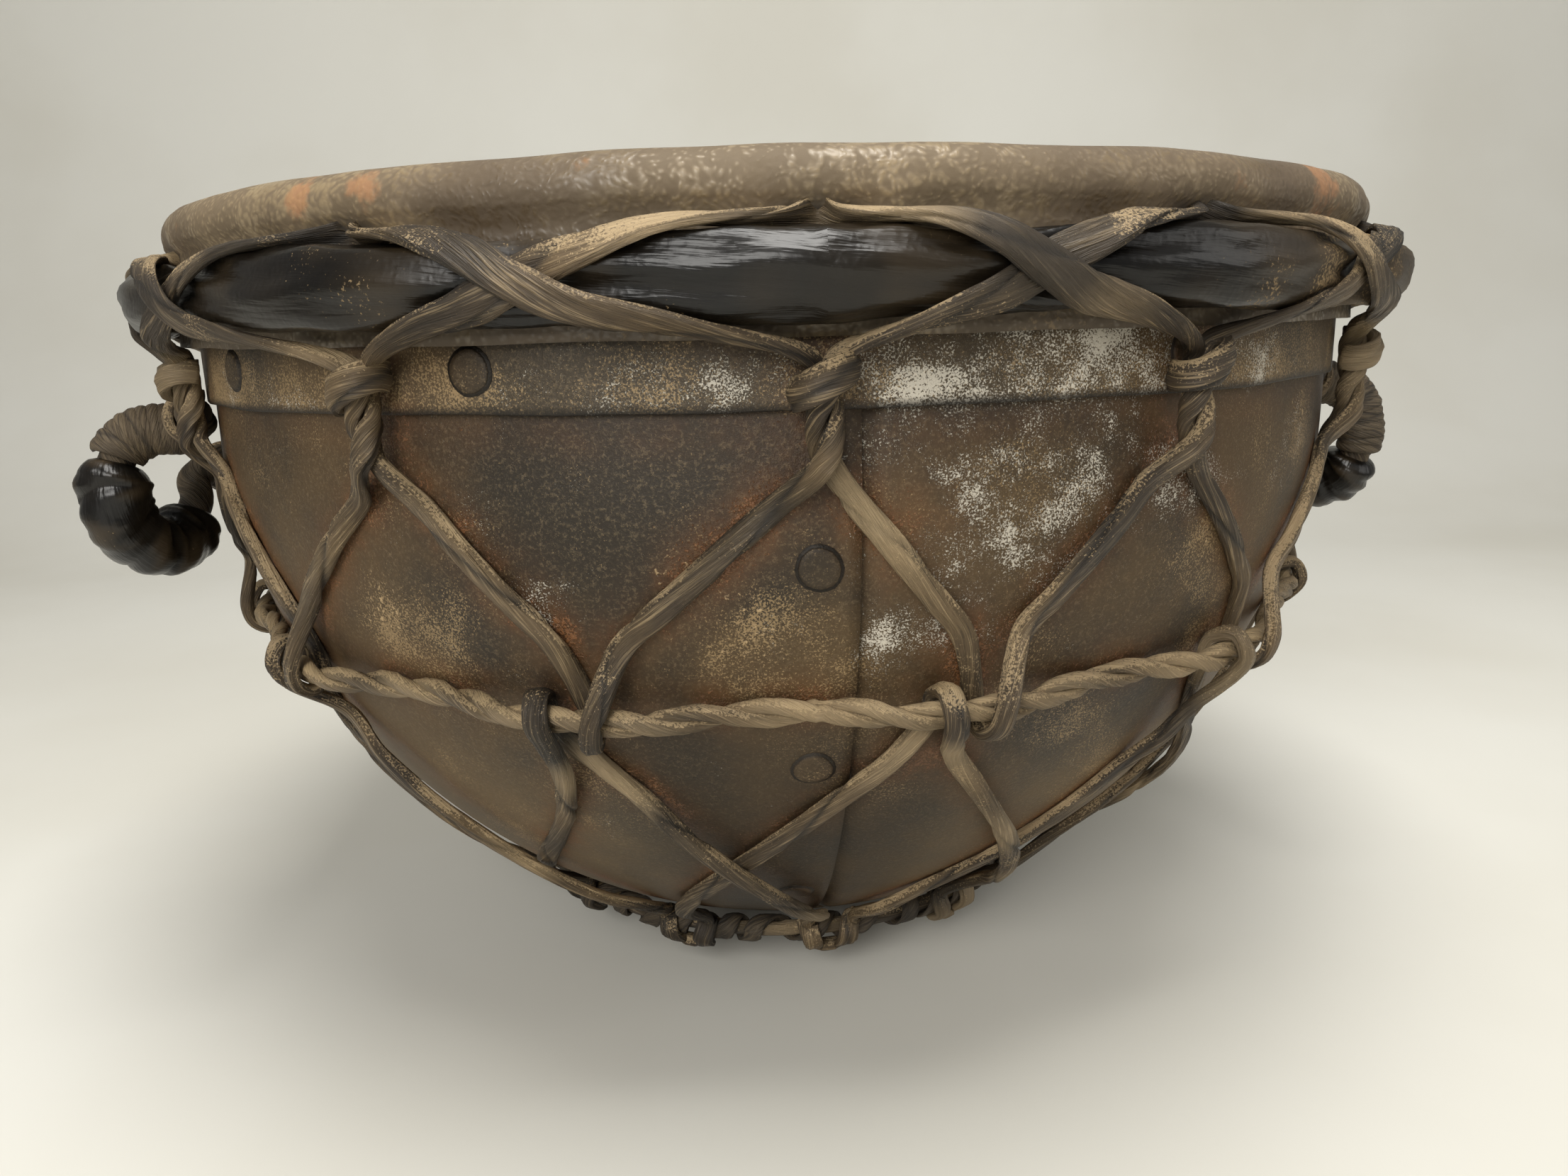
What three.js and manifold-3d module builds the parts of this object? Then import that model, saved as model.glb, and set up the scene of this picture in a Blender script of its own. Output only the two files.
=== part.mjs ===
// Iron kettle drum: a riveted sheet bowl, a hide head with a rolled edge, and hide lacing.
// Millimetres, +Z up. The flat of the bottom dish lies on z = 0 and the bowl's axis is the Z axis.
// Azimuth 0 is the front, towards -Y, and grows towards +X.
import * as THREE from 'three';
import { mergeVertices } from 'three/addons/utils/BufferGeometryUtils.js';
import Module from 'manifold-3d';

// Gaps between pieces
const CLEARANCE = 0.3;
const LAP_GAP = 0.6;
const LACE_GAP = 0.45;
// How far a strand's facets bow off the round forms under it.
const BOW = 1;

// Iron bowl
const SHEET = 1.6;
const COLLAR_RADIUS = 165;
const COLLAR_BOTTOM_Z = 174;
const COLLAR_HEIGHT = 36.5;
const COLLAR_OVERLAP = 19;
const BOWL_SHOULDER_Z = 160;
const BOWL_POLE_Z = 2;
const BOWL_RADIAL_POWER = 1.9;
const BOWL_DEPTH_POWER = 1.8;
const GORES = 3;
const SEAM_AZIMUTH = 5.9;
const SEAM_LAP = 16.5;
const SEAM_RAMP = 6;
const DISH_FLAT_RADIUS = 24;
const DISH_EDGE_RADIUS = 49.5;
const DISH_LAP = 9;

// Rivets
const RIVET_HEAD_RADIUS = 4.3;
const RIVET_HEAD_HEIGHT = 0.8;
const RIVET_SHANK_RADIUS = 2.2;
const RIVET_TAIL_RADIUS = 3.2;
const RIVET_TAIL_HEIGHT = 1.2;
// Degrees from a seam to each of the collar rivets that follow it.
const COLLAR_RIVET_ANGLES = [25, 65.8, 93.6];
const COLLAR_RIVET_RISE = 8.5;
const SEAM_RIVET_Z = [143.5, 95.5, 46];
const DISH_RIVETS = 6;

// Hide head, its hoop and its rolled edge
const HIDE = 2.4;
const RIM_HOOP_RADIUS = 3.6;
const SKIRT_DROP = 23;
const EYELET_WIDTH = 18;
const ROLL_DROP = 12;
const ROLL_DEPTH = 13.6;
const ROLL_HEIGHT = 17;
const ROLL_PINCH_DEPTH = 7;
const ROLL_PINCH_HEIGHT = 13;

// Lacing
const STATIONS = 12;
const STATION_ZERO = 2.2;
const LACE_WIDTH = 5.4;
const LACE_THICKNESS = 3.4;
const LACE_THREADED = 2.2;
const KNOT_RISE = 9.5;
const KNOT_HEIGHT = 19;
const BELT_Z = 113.3;
const BELT_HEIGHT = 7.2;
const BELT_DEPTH = 5.2;
const HOOK_SHIFT = -11;
const LOWER_SWEEP = 1.05;
const STEEP_SWEEP = 2;
const ANCHOR_SHIFT = -9;
// Degrees by which each knot and each belt crossing, in turn, was laced off its even place.
const LACE_WANDER = [
  1, -1.5, -2, -1, 0.5, 1, -0.5, 0, 1, -1, 0, 1.5,
  -1, 0.5, 1, 0, -1, 0, 1, -0.5, -1.5, -3.5, -0.5, -1.5,
];

// Bound ring at the base
const BASE_RING_GAP = 22.5;
const BASE_CORE_RADIUS = 1.9;
const BASE_CORD = 1.6;
const BASE_TURNS = 15;

// Carrying loops
const LOOP_Z = 161;
const LOOP_TILT = 20;
const LOOP_HALF_SPAN = 17;
const LOOP_REACH = 22;
const LOOP_REAR_REACH = 7.5;
const LOOP_DROP = 27;
const LOOP_CORD_RADIUS = 4.6;
const LOOP_STUB = 7;
const LOOP_BINDING = 1.7;
const LOOP_SLEEVE_WALL = 4.4;
// Each loop has its lacing station, the way along X to its front, and the shares of its length that its
// binding and its sleeve cover, with the turns of the binding.
const LOOPS = [
  { name: 'left', station: -2.42, ahead: -1, binding: [0.13, 0.28], turns: 3, sleeve: [0.3, 0.72] },
  { name: 'right', station: 3.02, ahead: 1, binding: [0.13, 0.42], turns: 5, sleeve: [0.44, 0.7] },
];
const TIE_DIAMETER = 3;

// Facet counts
const ROUND_STEPS = 48;
const BOWL_LEVELS = 7;
const RIVET_SIDES = 6;
const BINDING_STEPS = 8;
const BINDING_SIDES = 5;
const LACE_SIDES = 5;
const LOOP_SIDES = 8;
const SLEEVE_STEPS = 12;
const CORE_STEPS = 20;

// Values that follow from the sizes above
const RAD = Math.PI / 180;
const COLLAR_TOP_Z = COLLAR_BOTTOM_Z + COLLAR_HEIGHT;
const COLLAR_RIVET_Z = COLLAR_BOTTOM_Z + COLLAR_RIVET_RISE;
const SKIRT_END_Z = COLLAR_TOP_Z - SKIRT_DROP;
const ROLL_Z = COLLAR_TOP_Z - ROLL_DROP;
const KNOT_TOP_Z = COLLAR_BOTTOM_Z + KNOT_RISE;
const BOWL_RADIUS = COLLAR_RADIUS - SHEET - CLEARANCE;
const GORE_TOP_Z = COLLAR_BOTTOM_Z + COLLAR_OVERLAP;
const GORE_END_RADIUS = DISH_EDGE_RADIUS - DISH_LAP;
const HOOP_Z = COLLAR_TOP_Z + CLEARANCE + RIM_HOOP_RADIUS;
const HOOP_CENTRE_RADIUS = COLLAR_RADIUS - SHEET / 2;
const SHOULDER_RADIUS = RIM_HOOP_RADIUS + CLEARANCE + HIDE;
const HEAD_TOP_Z = HOOP_Z + SHOULDER_RADIUS;
const SKIRT_RADIUS = COLLAR_RADIUS + CLEARANCE + HIDE;
const ROLL_INNER_RADIUS = SKIRT_RADIUS + LAP_GAP;
const EYELET_Z = COLLAR_TOP_Z - LACE_WIDTH / 2;
const LACE_LIFT = LACE_THICKNESS / 2 + LACE_GAP;
const LACE_STEP = LACE_THICKNESS + LACE_GAP;
const KNOT_RADIUS = COLLAR_RADIUS + CLEARANCE + RIVET_HEAD_HEIGHT + 2 * LACE_LIFT;
const BASE_RING_TUBE = BASE_CORE_RADIUS / Math.cos(Math.PI / BINDING_STEPS) + CLEARANCE + BASE_CORD;
const BASE_RING_RADIUS = DISH_EDGE_RADIUS + BASE_RING_TUBE + BASE_RING_GAP;
const GRID_STEP = 360 / ROUND_STEPS;

const wasm = await Module();
wasm.setup();

const iron = new THREE.MeshStandardMaterial({ color: 0x4d463c, roughness: 0.6, metalness: 0.75 });
const rivetIron = new THREE.MeshStandardMaterial({ color: 0x3f3830, roughness: 0.55, metalness: 0.8 });
const hide = new THREE.MeshStandardMaterial({ color: 0x4f4636, roughness: 0.7, metalness: 0 });
const blackHide = new THREE.MeshStandardMaterial({ color: 0x1d1b19, roughness: 0.45, metalness: 0 });
const laceHide = new THREE.MeshStandardMaterial({ color: 0x5b5142, roughness: 0.8, metalness: 0 });
const cordFibre = new THREE.MeshStandardMaterial({ color: 0x4a3f2e, roughness: 0.9, metalness: 0 });

const drum = new THREE.Group();

function addPiece(name, geometry, material, group = drum) {
  const mesh = new THREE.Mesh(geometry, material);
  mesh.name = name;
  group.add(mesh);
  return mesh;
}

// Directions at an azimuth in radians: outwards, and sideways towards growing azimuth.
const UP = new THREE.Vector3(0, 0, 1);
const outward = (azimuth) => new THREE.Vector3(Math.sin(azimuth), -Math.cos(azimuth), 0);
const sideways = (azimuth) => new THREE.Vector3(Math.cos(azimuth), Math.sin(azimuth), 0);
const polar = (azimuth, radius, z) => outward(azimuth).multiplyScalar(radius).setZ(z);
const mix = (a, b, t) => a + (b - a) * t;

// Joins closed rings of points into one closed body, round a full circle or with flat caps.
function loft(rings, closed) {
  const sides = rings[0].length;
  const positions = rings.flat().flatMap((p) => [p.x, p.y, p.z]);
  const faces = [];
  const bands = closed ? rings.length : rings.length - 1;
  for (let i = 0; i < bands; i += 1) {
    const here = i * sides;
    const next = ((i + 1) % rings.length) * sides;
    for (let k = 0; k < sides; k += 1) {
      const k1 = (k + 1) % sides;
      faces.push(here + k, here + k1, next + k1, here + k, next + k1, next + k);
    }
  }
  if (!closed) {
    const last = (rings.length - 1) * sides;
    for (const [a, b, c] of capFaces(rings[0])) faces.push(c, b, a);
    for (const [a, b, c] of capFaces(rings[rings.length - 1])) faces.push(last + a, last + b, last + c);
  }
  const geometry = new THREE.BufferGeometry();
  geometry.setAttribute('position', new THREE.Float32BufferAttribute(positions, 3));
  geometry.setIndex(faces);
  return facingOut(geometry);
}

// Triangles over one flat ring, turned the way the ring runs.
function capFaces(ring) {
  const normal = new THREE.Vector3();
  ring.forEach((p, i) => normal.add(new THREE.Vector3().crossVectors(p, ring[(i + 1) % ring.length])));
  normal.normalize();
  const across = ring[1].clone().sub(ring[0]).normalize();
  const along = new THREE.Vector3().crossVectors(normal, across);
  const flat = ring.map((p) => new THREE.Vector2(p.dot(across), p.dot(along)));
  return THREE.ShapeUtils.triangulateShape(flat, []);
}

// Turns the faces over where the enclosed volume comes out negative.
function facingOut(geometry) {
  const p = geometry.attributes.position;
  const index = geometry.index.array;
  const corner = (i) => new THREE.Vector3().fromBufferAttribute(p, index[i]);
  let volume = 0;
  for (let i = 0; i < index.length; i += 3) {
    volume += corner(i).dot(corner(i + 1).cross(corner(i + 2)));
  }
  if (volume < 0) geometry.setIndex(Array.from(index).reverse());
  return geometry;
}

// Turns a closed profile of [radius, z] points round the axis.
function revolve(profile, steps = ROUND_STEPS) {
  const rings = [];
  for (let i = 0; i < steps; i += 1) {
    const azimuth = (SEAM_AZIMUTH + (360 * i) / steps) * RAD;
    rings.push(profile.map(([r, z]) => polar(azimuth, r, z)));
  }
  return loft(rings, true);
}

// Turns a profile that starts and ends on the axis round it.
function turnedFromAxis(profile) {
  const lathe = new THREE.LatheGeometry(profile.map(([r, z]) => new THREE.Vector2(r, z)), ROUND_STEPS);
  lathe.rotateX(Math.PI / 2);
  lathe.rotateZ(SEAM_AZIMUTH * RAD);
  const merged = mergeVertices(lathe.deleteAttribute('normal').deleteAttribute('uv'), 1e-3);
  const faces = merged.index.array;
  const kept = [];
  for (let i = 0; i < faces.length; i += 3) {
    const [a, b, c] = [faces[i], faces[i + 1], faces[i + 2]];
    if (a !== b && b !== c && a !== c) kept.push(a, b, c);
  }
  merged.setIndex(kept);
  return facingOut(merged);
}

function toSolid(geometry) {
  const bare = geometry.clone();
  bare.deleteAttribute('normal');
  bare.deleteAttribute('uv');
  const merged = mergeVertices(bare, 1e-4);
  const mesh = new wasm.Mesh({
    numProp: 3,
    vertProperties: new Float32Array(merged.attributes.position.array),
    triVerts: new Uint32Array(merged.index.array),
  });
  return new wasm.Manifold(mesh);
}

function cutAway(geometry, tools) {
  let solid = toSolid(geometry);
  for (const tool of tools) solid = solid.subtract(toSolid(tool));
  const mesh = solid.getMesh();
  const result = new THREE.BufferGeometry();
  result.setAttribute('position', new THREE.Float32BufferAttribute(mesh.vertProperties, 3));
  result.setIndex(Array.from(mesh.triVerts));
  return result;
}

// Bowl form: a superellipse from the shoulder down, in straight facets between its levels.
const bowlLevels = [[BOWL_RADIUS, COLLAR_TOP_Z]];
for (let i = 0; i <= BOWL_LEVELS; i += 1) {
  const angle = (Math.PI / 2) * (i / BOWL_LEVELS);
  const depth = Math.sin(angle) ** (2 / BOWL_DEPTH_POWER);
  const radius = BOWL_RADIUS * Math.cos(angle) ** (2 / BOWL_RADIAL_POWER);
  bowlLevels.push([radius, mix(BOWL_SHOULDER_Z, BOWL_POLE_Z, depth)]);
}

// The bowl's outer radius at a height, and its height at a radius.
function alongBowl(value, from, to) {
  const next = Math.max(1, bowlLevels.findIndex((level, i) => i > 0 && level[from] <= value));
  const [a, b] = [bowlLevels[next - 1], bowlLevels[next]];
  return a[from] === b[from] ? b[to] : mix(a[to], b[to], (value - a[from]) / (b[from] - a[from]));
}

const bowlRadius = (z) => alongBowl(z, 1, 0);
const bowlHeight = (radius) => alongBowl(radius, 0, 1);

function bowlSkin(azimuth, z, radius = bowlRadius(z)) {
  const slope = (bowlRadius(z + 0.5) - bowlRadius(z - 0.5));
  const out = outward(azimuth);
  const normal = out.clone().addScaledVector(UP, -slope).normalize();
  const rising = out.clone().multiplyScalar(slope).add(UP).normalize();
  return { point: polar(azimuth, radius, z), normal, rising, side: sideways(azimuth) };
}

// A point lifted off the bowl, with the direction away from it.
function overBowl(azimuth, z, lift) {
  const skin = bowlSkin(azimuth, z);
  return { p: skin.point.addScaledVector(skin.normal, lift), n: skin.normal };
}

// The [radius, z] profile of the bowl's skin moved inwards by an inset, from one height to another.
function bowlProfile(zFrom, zTo, inset) {
  const between = bowlLevels.map((level) => level[1]).filter((z) => z > zFrom + SHEET && z < zTo - SHEET);
  return [zFrom, ...between.reverse(), zTo].map((z) => {
    const skin = bowlSkin(0, z);
    const p = skin.point.addScaledVector(skin.normal, -inset);
    return [-p.y, p.z];
  });
}

// Rivets: each has a place on the skin, a direction out of it, and the stack of sheet that it holds.
function rivetGeometry(place, stack) {
  const profile = [
    [RIVET_TAIL_RADIUS, -stack - CLEARANCE - RIVET_TAIL_HEIGHT],
    [RIVET_SHANK_RADIUS, -stack - CLEARANCE],
    [RIVET_SHANK_RADIUS, CLEARANCE],
    [RIVET_HEAD_RADIUS, CLEARANCE],
    [RIVET_HEAD_RADIUS * 0.75, CLEARANCE + RIVET_HEAD_HEIGHT],
  ];
  return pegGeometry(place, profile);
}

function pegGeometry(place, profile) {
  const across = new THREE.Vector3().crossVectors(UP, place.normal).normalize();
  const along = new THREE.Vector3().crossVectors(place.normal, across);
  const rings = profile.map(([radius, height]) => {
    const ring = [];
    for (let k = 0; k < RIVET_SIDES; k += 1) {
      const turn = (2 * Math.PI * k) / RIVET_SIDES;
      ring.push(place.point.clone().addScaledVector(place.normal, height)
        .addScaledVector(across, radius * Math.cos(turn)).addScaledVector(along, radius * Math.sin(turn)));
    }
    return ring;
  });
  return loft(rings, false);
}

function rivetHole(place) {
  const reach = 4 * SHEET;
  const radius = RIVET_SHANK_RADIUS + CLEARANCE;
  return pegGeometry(place, [[radius, -reach], [radius, reach]]);
}

const seamAzimuths = Array.from({ length: GORES }, (_, g) => SEAM_AZIMUTH + (360 * g) / GORES);

const collarRivets = seamAzimuths.flatMap((seam) => COLLAR_RIVET_ANGLES.map((angle) => {
  const azimuth = (seam + angle) * RAD;
  return { point: polar(azimuth, COLLAR_RADIUS, COLLAR_RIVET_Z), normal: outward(azimuth) };
}));

const seamRivets = seamAzimuths.map((seam) => SEAM_RIVET_Z.map((z) => {
  const azimuth = seam * RAD - SEAM_LAP / 2 / bowlRadius(z);
  return bowlSkin(azimuth, z);
}));

const dishRivets = Array.from({ length: DISH_RIVETS }, (_, i) => {
  const azimuth = (SEAM_AZIMUTH + (360 * (i + 0.5)) / DISH_RIVETS) * RAD;
  const skin = bowlSkin(azimuth, bowlHeight(DISH_EDGE_RADIUS - DISH_LAP / 2));
  skin.point.addScaledVector(skin.normal, CLEARANCE + SHEET);
  return skin;
});

// A third of the bowl. Its leading edge is set in by one sheet, to lie under the last plate's edge.
function gorePlate(g) {
  const zFrom = bowlHeight(GORE_END_RADIUS);
  const joggle = SHEET + LAP_GAP;
  const span = 360 / GORES;
  const rings = [];
  const station = (azimuthAt, inset) => {
    const outer = bowlProfile(zFrom, GORE_TOP_Z, inset);
    const inner = bowlProfile(zFrom, GORE_TOP_Z, inset + SHEET).reverse();
    rings.push([...outer, ...inner].map(([r, z]) => polar(azimuthAt(z), r, z)));
  };
  const seam = seamAzimuths[g] * RAD;
  const along = (millimetres) => (z) => seam + millimetres / Math.max(bowlRadius(z), GORE_END_RADIUS);
  station(along(-SEAM_LAP), joggle);
  station(along(CLEARANCE), joggle);
  station(along(SEAM_RAMP), 0);
  for (let degrees = 2 * GRID_STEP; degrees <= span + 1e-6; degrees += GRID_STEP) {
    const azimuth = seam + degrees * RAD;
    station(() => azimuth, 0);
  }
  const holes = [...collarRivets, ...seamRivets.flat(), ...dishRivets].map(rivetHole);
  return cutAway(loft(rings, false), holes);
}

for (let g = 0; g < GORES; g += 1) addPiece(`gore_plate_${g + 1}`, gorePlate(g), iron);

// Shallow pressed dish that closes the bowl below, lapped outside the plates, with a flat to stand on.
function dishGeometry() {
  const lapFrom = bowlHeight(GORE_END_RADIUS);
  const lapTo = bowlHeight(DISH_EDGE_RADIUS);
  const profile = [
    [0, SHEET],
    [DISH_FLAT_RADIUS, SHEET],
    ...bowlProfile(lapFrom, lapTo, -CLEARANCE),
    ...bowlProfile(lapFrom, lapTo, -CLEARANCE - SHEET).reverse(),
    [DISH_FLAT_RADIUS, 0],
    [0, 0],
  ];
  return cutAway(turnedFromAxis(profile), dishRivets.map(rivetHole));
}

addPiece('bottom_dish', dishGeometry(), iron);

const collarProfile = [
  [COLLAR_RADIUS, COLLAR_BOTTOM_Z],
  [COLLAR_RADIUS, COLLAR_TOP_Z],
  [COLLAR_RADIUS - SHEET, COLLAR_TOP_Z],
  [COLLAR_RADIUS - SHEET, COLLAR_BOTTOM_Z],
];
addPiece('collar_band', cutAway(revolve(collarProfile), collarRivets.map(rivetHole)), iron);

const collarStack = 2 * SHEET + CLEARANCE;
const seamStack = 2 * SHEET + LAP_GAP;
collarRivets.forEach((place, i) => {
  addPiece(`collar_rivet_${i + 1}`, rivetGeometry(place, collarStack), rivetIron);
});
seamRivets.forEach((seam, g) => seam.forEach((place, i) => {
  addPiece(`seam_${g + 1}_rivet_${i + 1}`, rivetGeometry(place, seamStack), rivetIron);
}));
dishRivets.forEach((place, i) => {
  addPiece(`dish_rivet_${i + 1}`, rivetGeometry(place, collarStack), rivetIron);
});

// Round iron hoop on the collar's top edge, which gives the hide its rounded shoulder.
function arc(centreRadius, centreZ, radius, from, to, steps) {
  const points = [];
  for (let i = 0; i <= steps; i += 1) {
    const angle = mix(from, to, i / steps) * RAD;
    points.push([centreRadius + radius * Math.cos(angle), centreZ + radius * Math.sin(angle)]);
  }
  return points;
}

addPiece('rim_hoop', revolve(arc(HOOP_CENTRE_RADIUS, HOOP_Z, RIM_HOOP_RADIUS, 0, 360, 5).slice(1)), iron);

// Hide head: a flat skin, drawn over the hoop and down behind the rolled edge.
function eyeletCut(azimuth) {
  const box = new THREE.BoxGeometry(EYELET_WIDTH, 6 * HIDE, LACE_WIDTH + 2 * LAP_GAP);
  box.rotateZ(azimuth);
  const centre = polar(azimuth, SKIRT_RADIUS, EYELET_Z);
  return box.translate(centre.x, centre.y, centre.z);
}

function headGeometry() {
  const tuck = -30;
  const profile = [
    [0, HEAD_TOP_Z],
    ...arc(HOOP_CENTRE_RADIUS, HOOP_Z, SHOULDER_RADIUS, 90, tuck, 3),
    [SKIRT_RADIUS, COLLAR_TOP_Z - HIDE],
    [SKIRT_RADIUS, SKIRT_END_Z],
    [SKIRT_RADIUS - HIDE, SKIRT_END_Z],
    [SKIRT_RADIUS - HIDE, COLLAR_TOP_Z - HIDE],
    ...arc(HOOP_CENTRE_RADIUS, HOOP_Z, SHOULDER_RADIUS - HIDE, tuck, 90, 3),
    [0, HEAD_TOP_Z - HIDE],
  ];
  const eyelets = Array.from({ length: STATIONS }, (_, i) => eyeletCut(stationAngle(i)));
  return cutAway(turnedFromAxis(profile), eyelets);
}

// Lacing stations: whole numbers are knots and eyelets, halves are belt crossings and pinches.
function stationAngle(s) {
  const count = LACE_WANDER.length;
  const place = s * 2;
  const low = Math.floor(place);
  const wander = (i) => LACE_WANDER[((i % count) + count) % count];
  const offset = mix(wander(low), wander(low + 1), place - low);
  return (STATION_ZERO + (360 / STATIONS) * s + offset) * RAD;
}

addPiece('drum_head', headGeometry(), hide);

// Rolled hide edge: full over each knot and drawn in at each half station.
function rollHalf(s) {
  const fullness = 0.5 + 0.5 * Math.cos(2 * Math.PI * s);
  return {
    depth: mix(ROLL_PINCH_DEPTH, ROLL_DEPTH, fullness ** 0.6) / 2,
    height: mix(ROLL_PINCH_HEIGHT, ROLL_HEIGHT, fullness ** 0.6) / 2,
  };
}

// A point over the roll: angle 0 faces out, 90 is its top and -90 its underside.
function overRoll(s, angle, lift) {
  const azimuth = stationAngle(s);
  const half = rollHalf(s);
  const turn = angle * RAD;
  const centre = ROLL_INNER_RADIUS + half.depth;
  const out = (half.depth + lift) * Math.cos(turn);
  const n = outward(azimuth).multiplyScalar(Math.cos(turn)).addScaledVector(UP, Math.sin(turn));
  return { p: polar(azimuth, centre + out, ROLL_Z + (half.height + lift) * Math.sin(turn)), n };
}

function rollGeometry() {
  const sides = 7;
  const stepsPerStation = 4;
  const rings = [];
  for (let i = 0; i < STATIONS * stepsPerStation; i += 1) {
    const s = i / stepsPerStation;
    rings.push(Array.from({ length: sides }, (_, k) => overRoll(s, (360 * k) / sides, 0).p));
  }
  return loft(rings, true);
}

addPiece('rolled_edge', rollGeometry(), blackHide);

// Skins a flattened strand over its stops. Each stop has a centre p and the way n that it faces.
function strandGeometry(stops, sides, closed) {
  const count = stops.length;
  const rings = [];
  let before = null;
  stops.forEach((stop, i) => {
    const last = stops[closed ? (i + count - 1) % count : Math.max(i - 1, 0)].p;
    const next = stops[closed ? (i + 1) % count : Math.min(i + 1, count - 1)].p;
    const run = next.clone().sub(last).normalize();
    const face = stop.n.clone().addScaledVector(run, -stop.n.dot(run)).normalize();
    if (before && face.dot(before) < 0) face.negate();
    before = face;
    const across = new THREE.Vector3().crossVectors(run, face);
    const ring = [];
    for (let k = 0; k < sides; k += 1) {
      const turn = (2 * Math.PI * k) / sides;
      ring.push(stop.p.clone().addScaledVector(across, (stop.width / 2) * Math.cos(turn))
        .addScaledVector(face, (stop.thick / 2) * Math.sin(turn)));
    }
    rings.push(ring);
  });
  return loft(rings, closed);
}

const laceStop = ({ p, n }, thick = LACE_THICKNESS, width = LACE_WIDTH) => ({ p, n, width, thick });

// The least distance between stretches of a strand that don't follow each other.
function leastSelfGap(name, stops, apart) {
  let least = Infinity;
  stops.forEach((a, i) => {
    for (let j = i + apart; j < stops.length; j += 1) {
      const b = stops[j];
      const between = b.p.clone().sub(a.p);
      const distance = between.length();
      between.normalize();
      const half = (stop) => mix(stop.width, stop.thick, Math.abs(between.dot(stop.n))) / 2;
      least = Math.min(least, distance - half(a) - half(b));
    }
  });
  console.log(`${name}: least gap to itself ${least.toFixed(2)} mm`);
}

// Two strands turn once about each other in a knot. Phase 0 faces out and 90 is towards the left.
function knotStop(s, phase, down) {
  const azimuth = stationAngle(s);
  const turn = phase * RAD;
  const n = outward(azimuth).applyAxisAngle(UP, -turn);
  const axis = polar(azimuth, KNOT_RADIUS, KNOT_TOP_Z - KNOT_HEIGHT * down);
  return laceStop({ p: axis.addScaledVector(n, LACE_STEP / 2), n });
}

// Millimetres along the belt as a share of a station.
const alongBelt = (length) => (length / bowlRadius(BELT_Z)) * (STATIONS / (2 * Math.PI));

// The belt stands off the bowl where strands pass behind it and lies on it between.
function beltCentre(s) {
  const reach = Math.abs(s - Math.floor(s) - 0.5 - alongBelt(HOOK_SHIFT / 2));
  const raised = THREE.MathUtils.smoothstep(0.5 - reach, 0.12, 0.3);
  const low = BELT_DEPTH / 2 + LAP_GAP;
  const high = BELT_DEPTH / 2 + LACE_STEP + LACE_GAP + BOW;
  const skin = bowlSkin(stationAngle(s), BELT_Z);
  return { ...skin, point: skin.point.clone().addScaledVector(skin.normal, mix(low, high, raised)) };
}

// A stop on a loop round the belt: angle 0 is in front of it, 90 above it and 180 behind it.
function beltStop(s, angle, shift) {
  const belt = beltCentre(s + alongBelt(shift));
  const turn = angle * RAD;
  const n = belt.normal.clone().multiplyScalar(Math.cos(turn)).addScaledVector(belt.rising, Math.sin(turn));
  const off = LACE_LIFT + BOW;
  const p = belt.point.clone().addScaledVector(belt.normal, (BELT_DEPTH / 2 + off) * Math.cos(turn))
    .addScaledVector(belt.rising, (BELT_HEIGHT / 2 + off) * Math.sin(turn));
  return laceStop({ p, n });
}

function beltGeometry() {
  const stops = [];
  const stepsPerStation = 4;
  for (let i = 0; i < STATIONS * stepsPerStation; i += 1) {
    const belt = beltCentre(i / stepsPerStation);
    stops.push(laceStop({ p: belt.point, n: belt.normal }, BELT_DEPTH, BELT_HEIGHT));
  }
  return strandGeometry(stops, LACE_SIDES, true);
}

addPiece('belt_cord', beltGeometry(), laceHide);

function eyeletStop(s) {
  const azimuth = stationAngle(s);
  const radius = COLLAR_RADIUS + LACE_GAP + LACE_THREADED / 2;
  return laceStop({ p: polar(azimuth, radius, EYELET_Z), n: outward(azimuth) }, LACE_THREADED);
}

// Upper lacing: from each eyelet right and down over the roll, one turn in the next knot, down left
// round the belt, back up through the first knot, and right over the roll to the next eyelet.
function upperLaceStops() {
  const stops = [];
  const overlay = [[0.1, 108], [0.26, 68], [0.4, 28], [0.5, 0], [0.6, -28], [0.78, -72]];
  const phases = [90, 165, 240, 315, 390];
  const legs = [0.3, 0.7];
  const foot = KNOT_TOP_Z - KNOT_HEIGHT;
  const beltTop = BELT_Z + BELT_HEIGHT;
  const legStop = (knot, crossing, t) => {
    const z = mix(foot, beltTop, t);
    return laceStop(overBowl(stationAngle(mix(knot, crossing, t)), z, LACE_LIFT + LACE_GAP));
  };
  for (let i = 0; i < STATIONS; i += 1) {
    stops.push(eyeletStop(i));
    for (const [ds, angle] of overlay) {
      const raise = LACE_STEP * Math.max(0, 1 - Math.abs(ds - 0.5) / 0.25);
      stops.push(laceStop(overRoll(i + ds, angle, LACE_LIFT + BOW + raise)));
    }
    phases.forEach((phase, k) => stops.push(knotStop(i + 1, phase, k / 4)));
    for (const t of legs) stops.push(legStop(i + 1, i + 0.5, t));
    for (const angle of [35, -20, -75, -130, -185]) {
      stops.push(beltStop(i + 0.5, angle, 2 - (35 - angle) / 55));
    }
    for (const t of [...legs].reverse()) stops.push(legStop(i, i + 0.5, t));
    phases.forEach((phase, k) => stops.push(knotStop(i, phases[4 - k] - 180, 1 - k / 4)));
    for (const [ds, angle] of [...overlay].reverse()) {
      stops.push(laceStop(overRoll(i + 1 - ds, angle, LACE_LIFT + BOW)));
    }
  }
  return stops;
}

const upperLace = upperLaceStops();
leastSelfGap('upper_lace', upperLace, 3);
addPiece('upper_lace', strandGeometry(upperLace, LACE_SIDES, true), laceHide);

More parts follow.
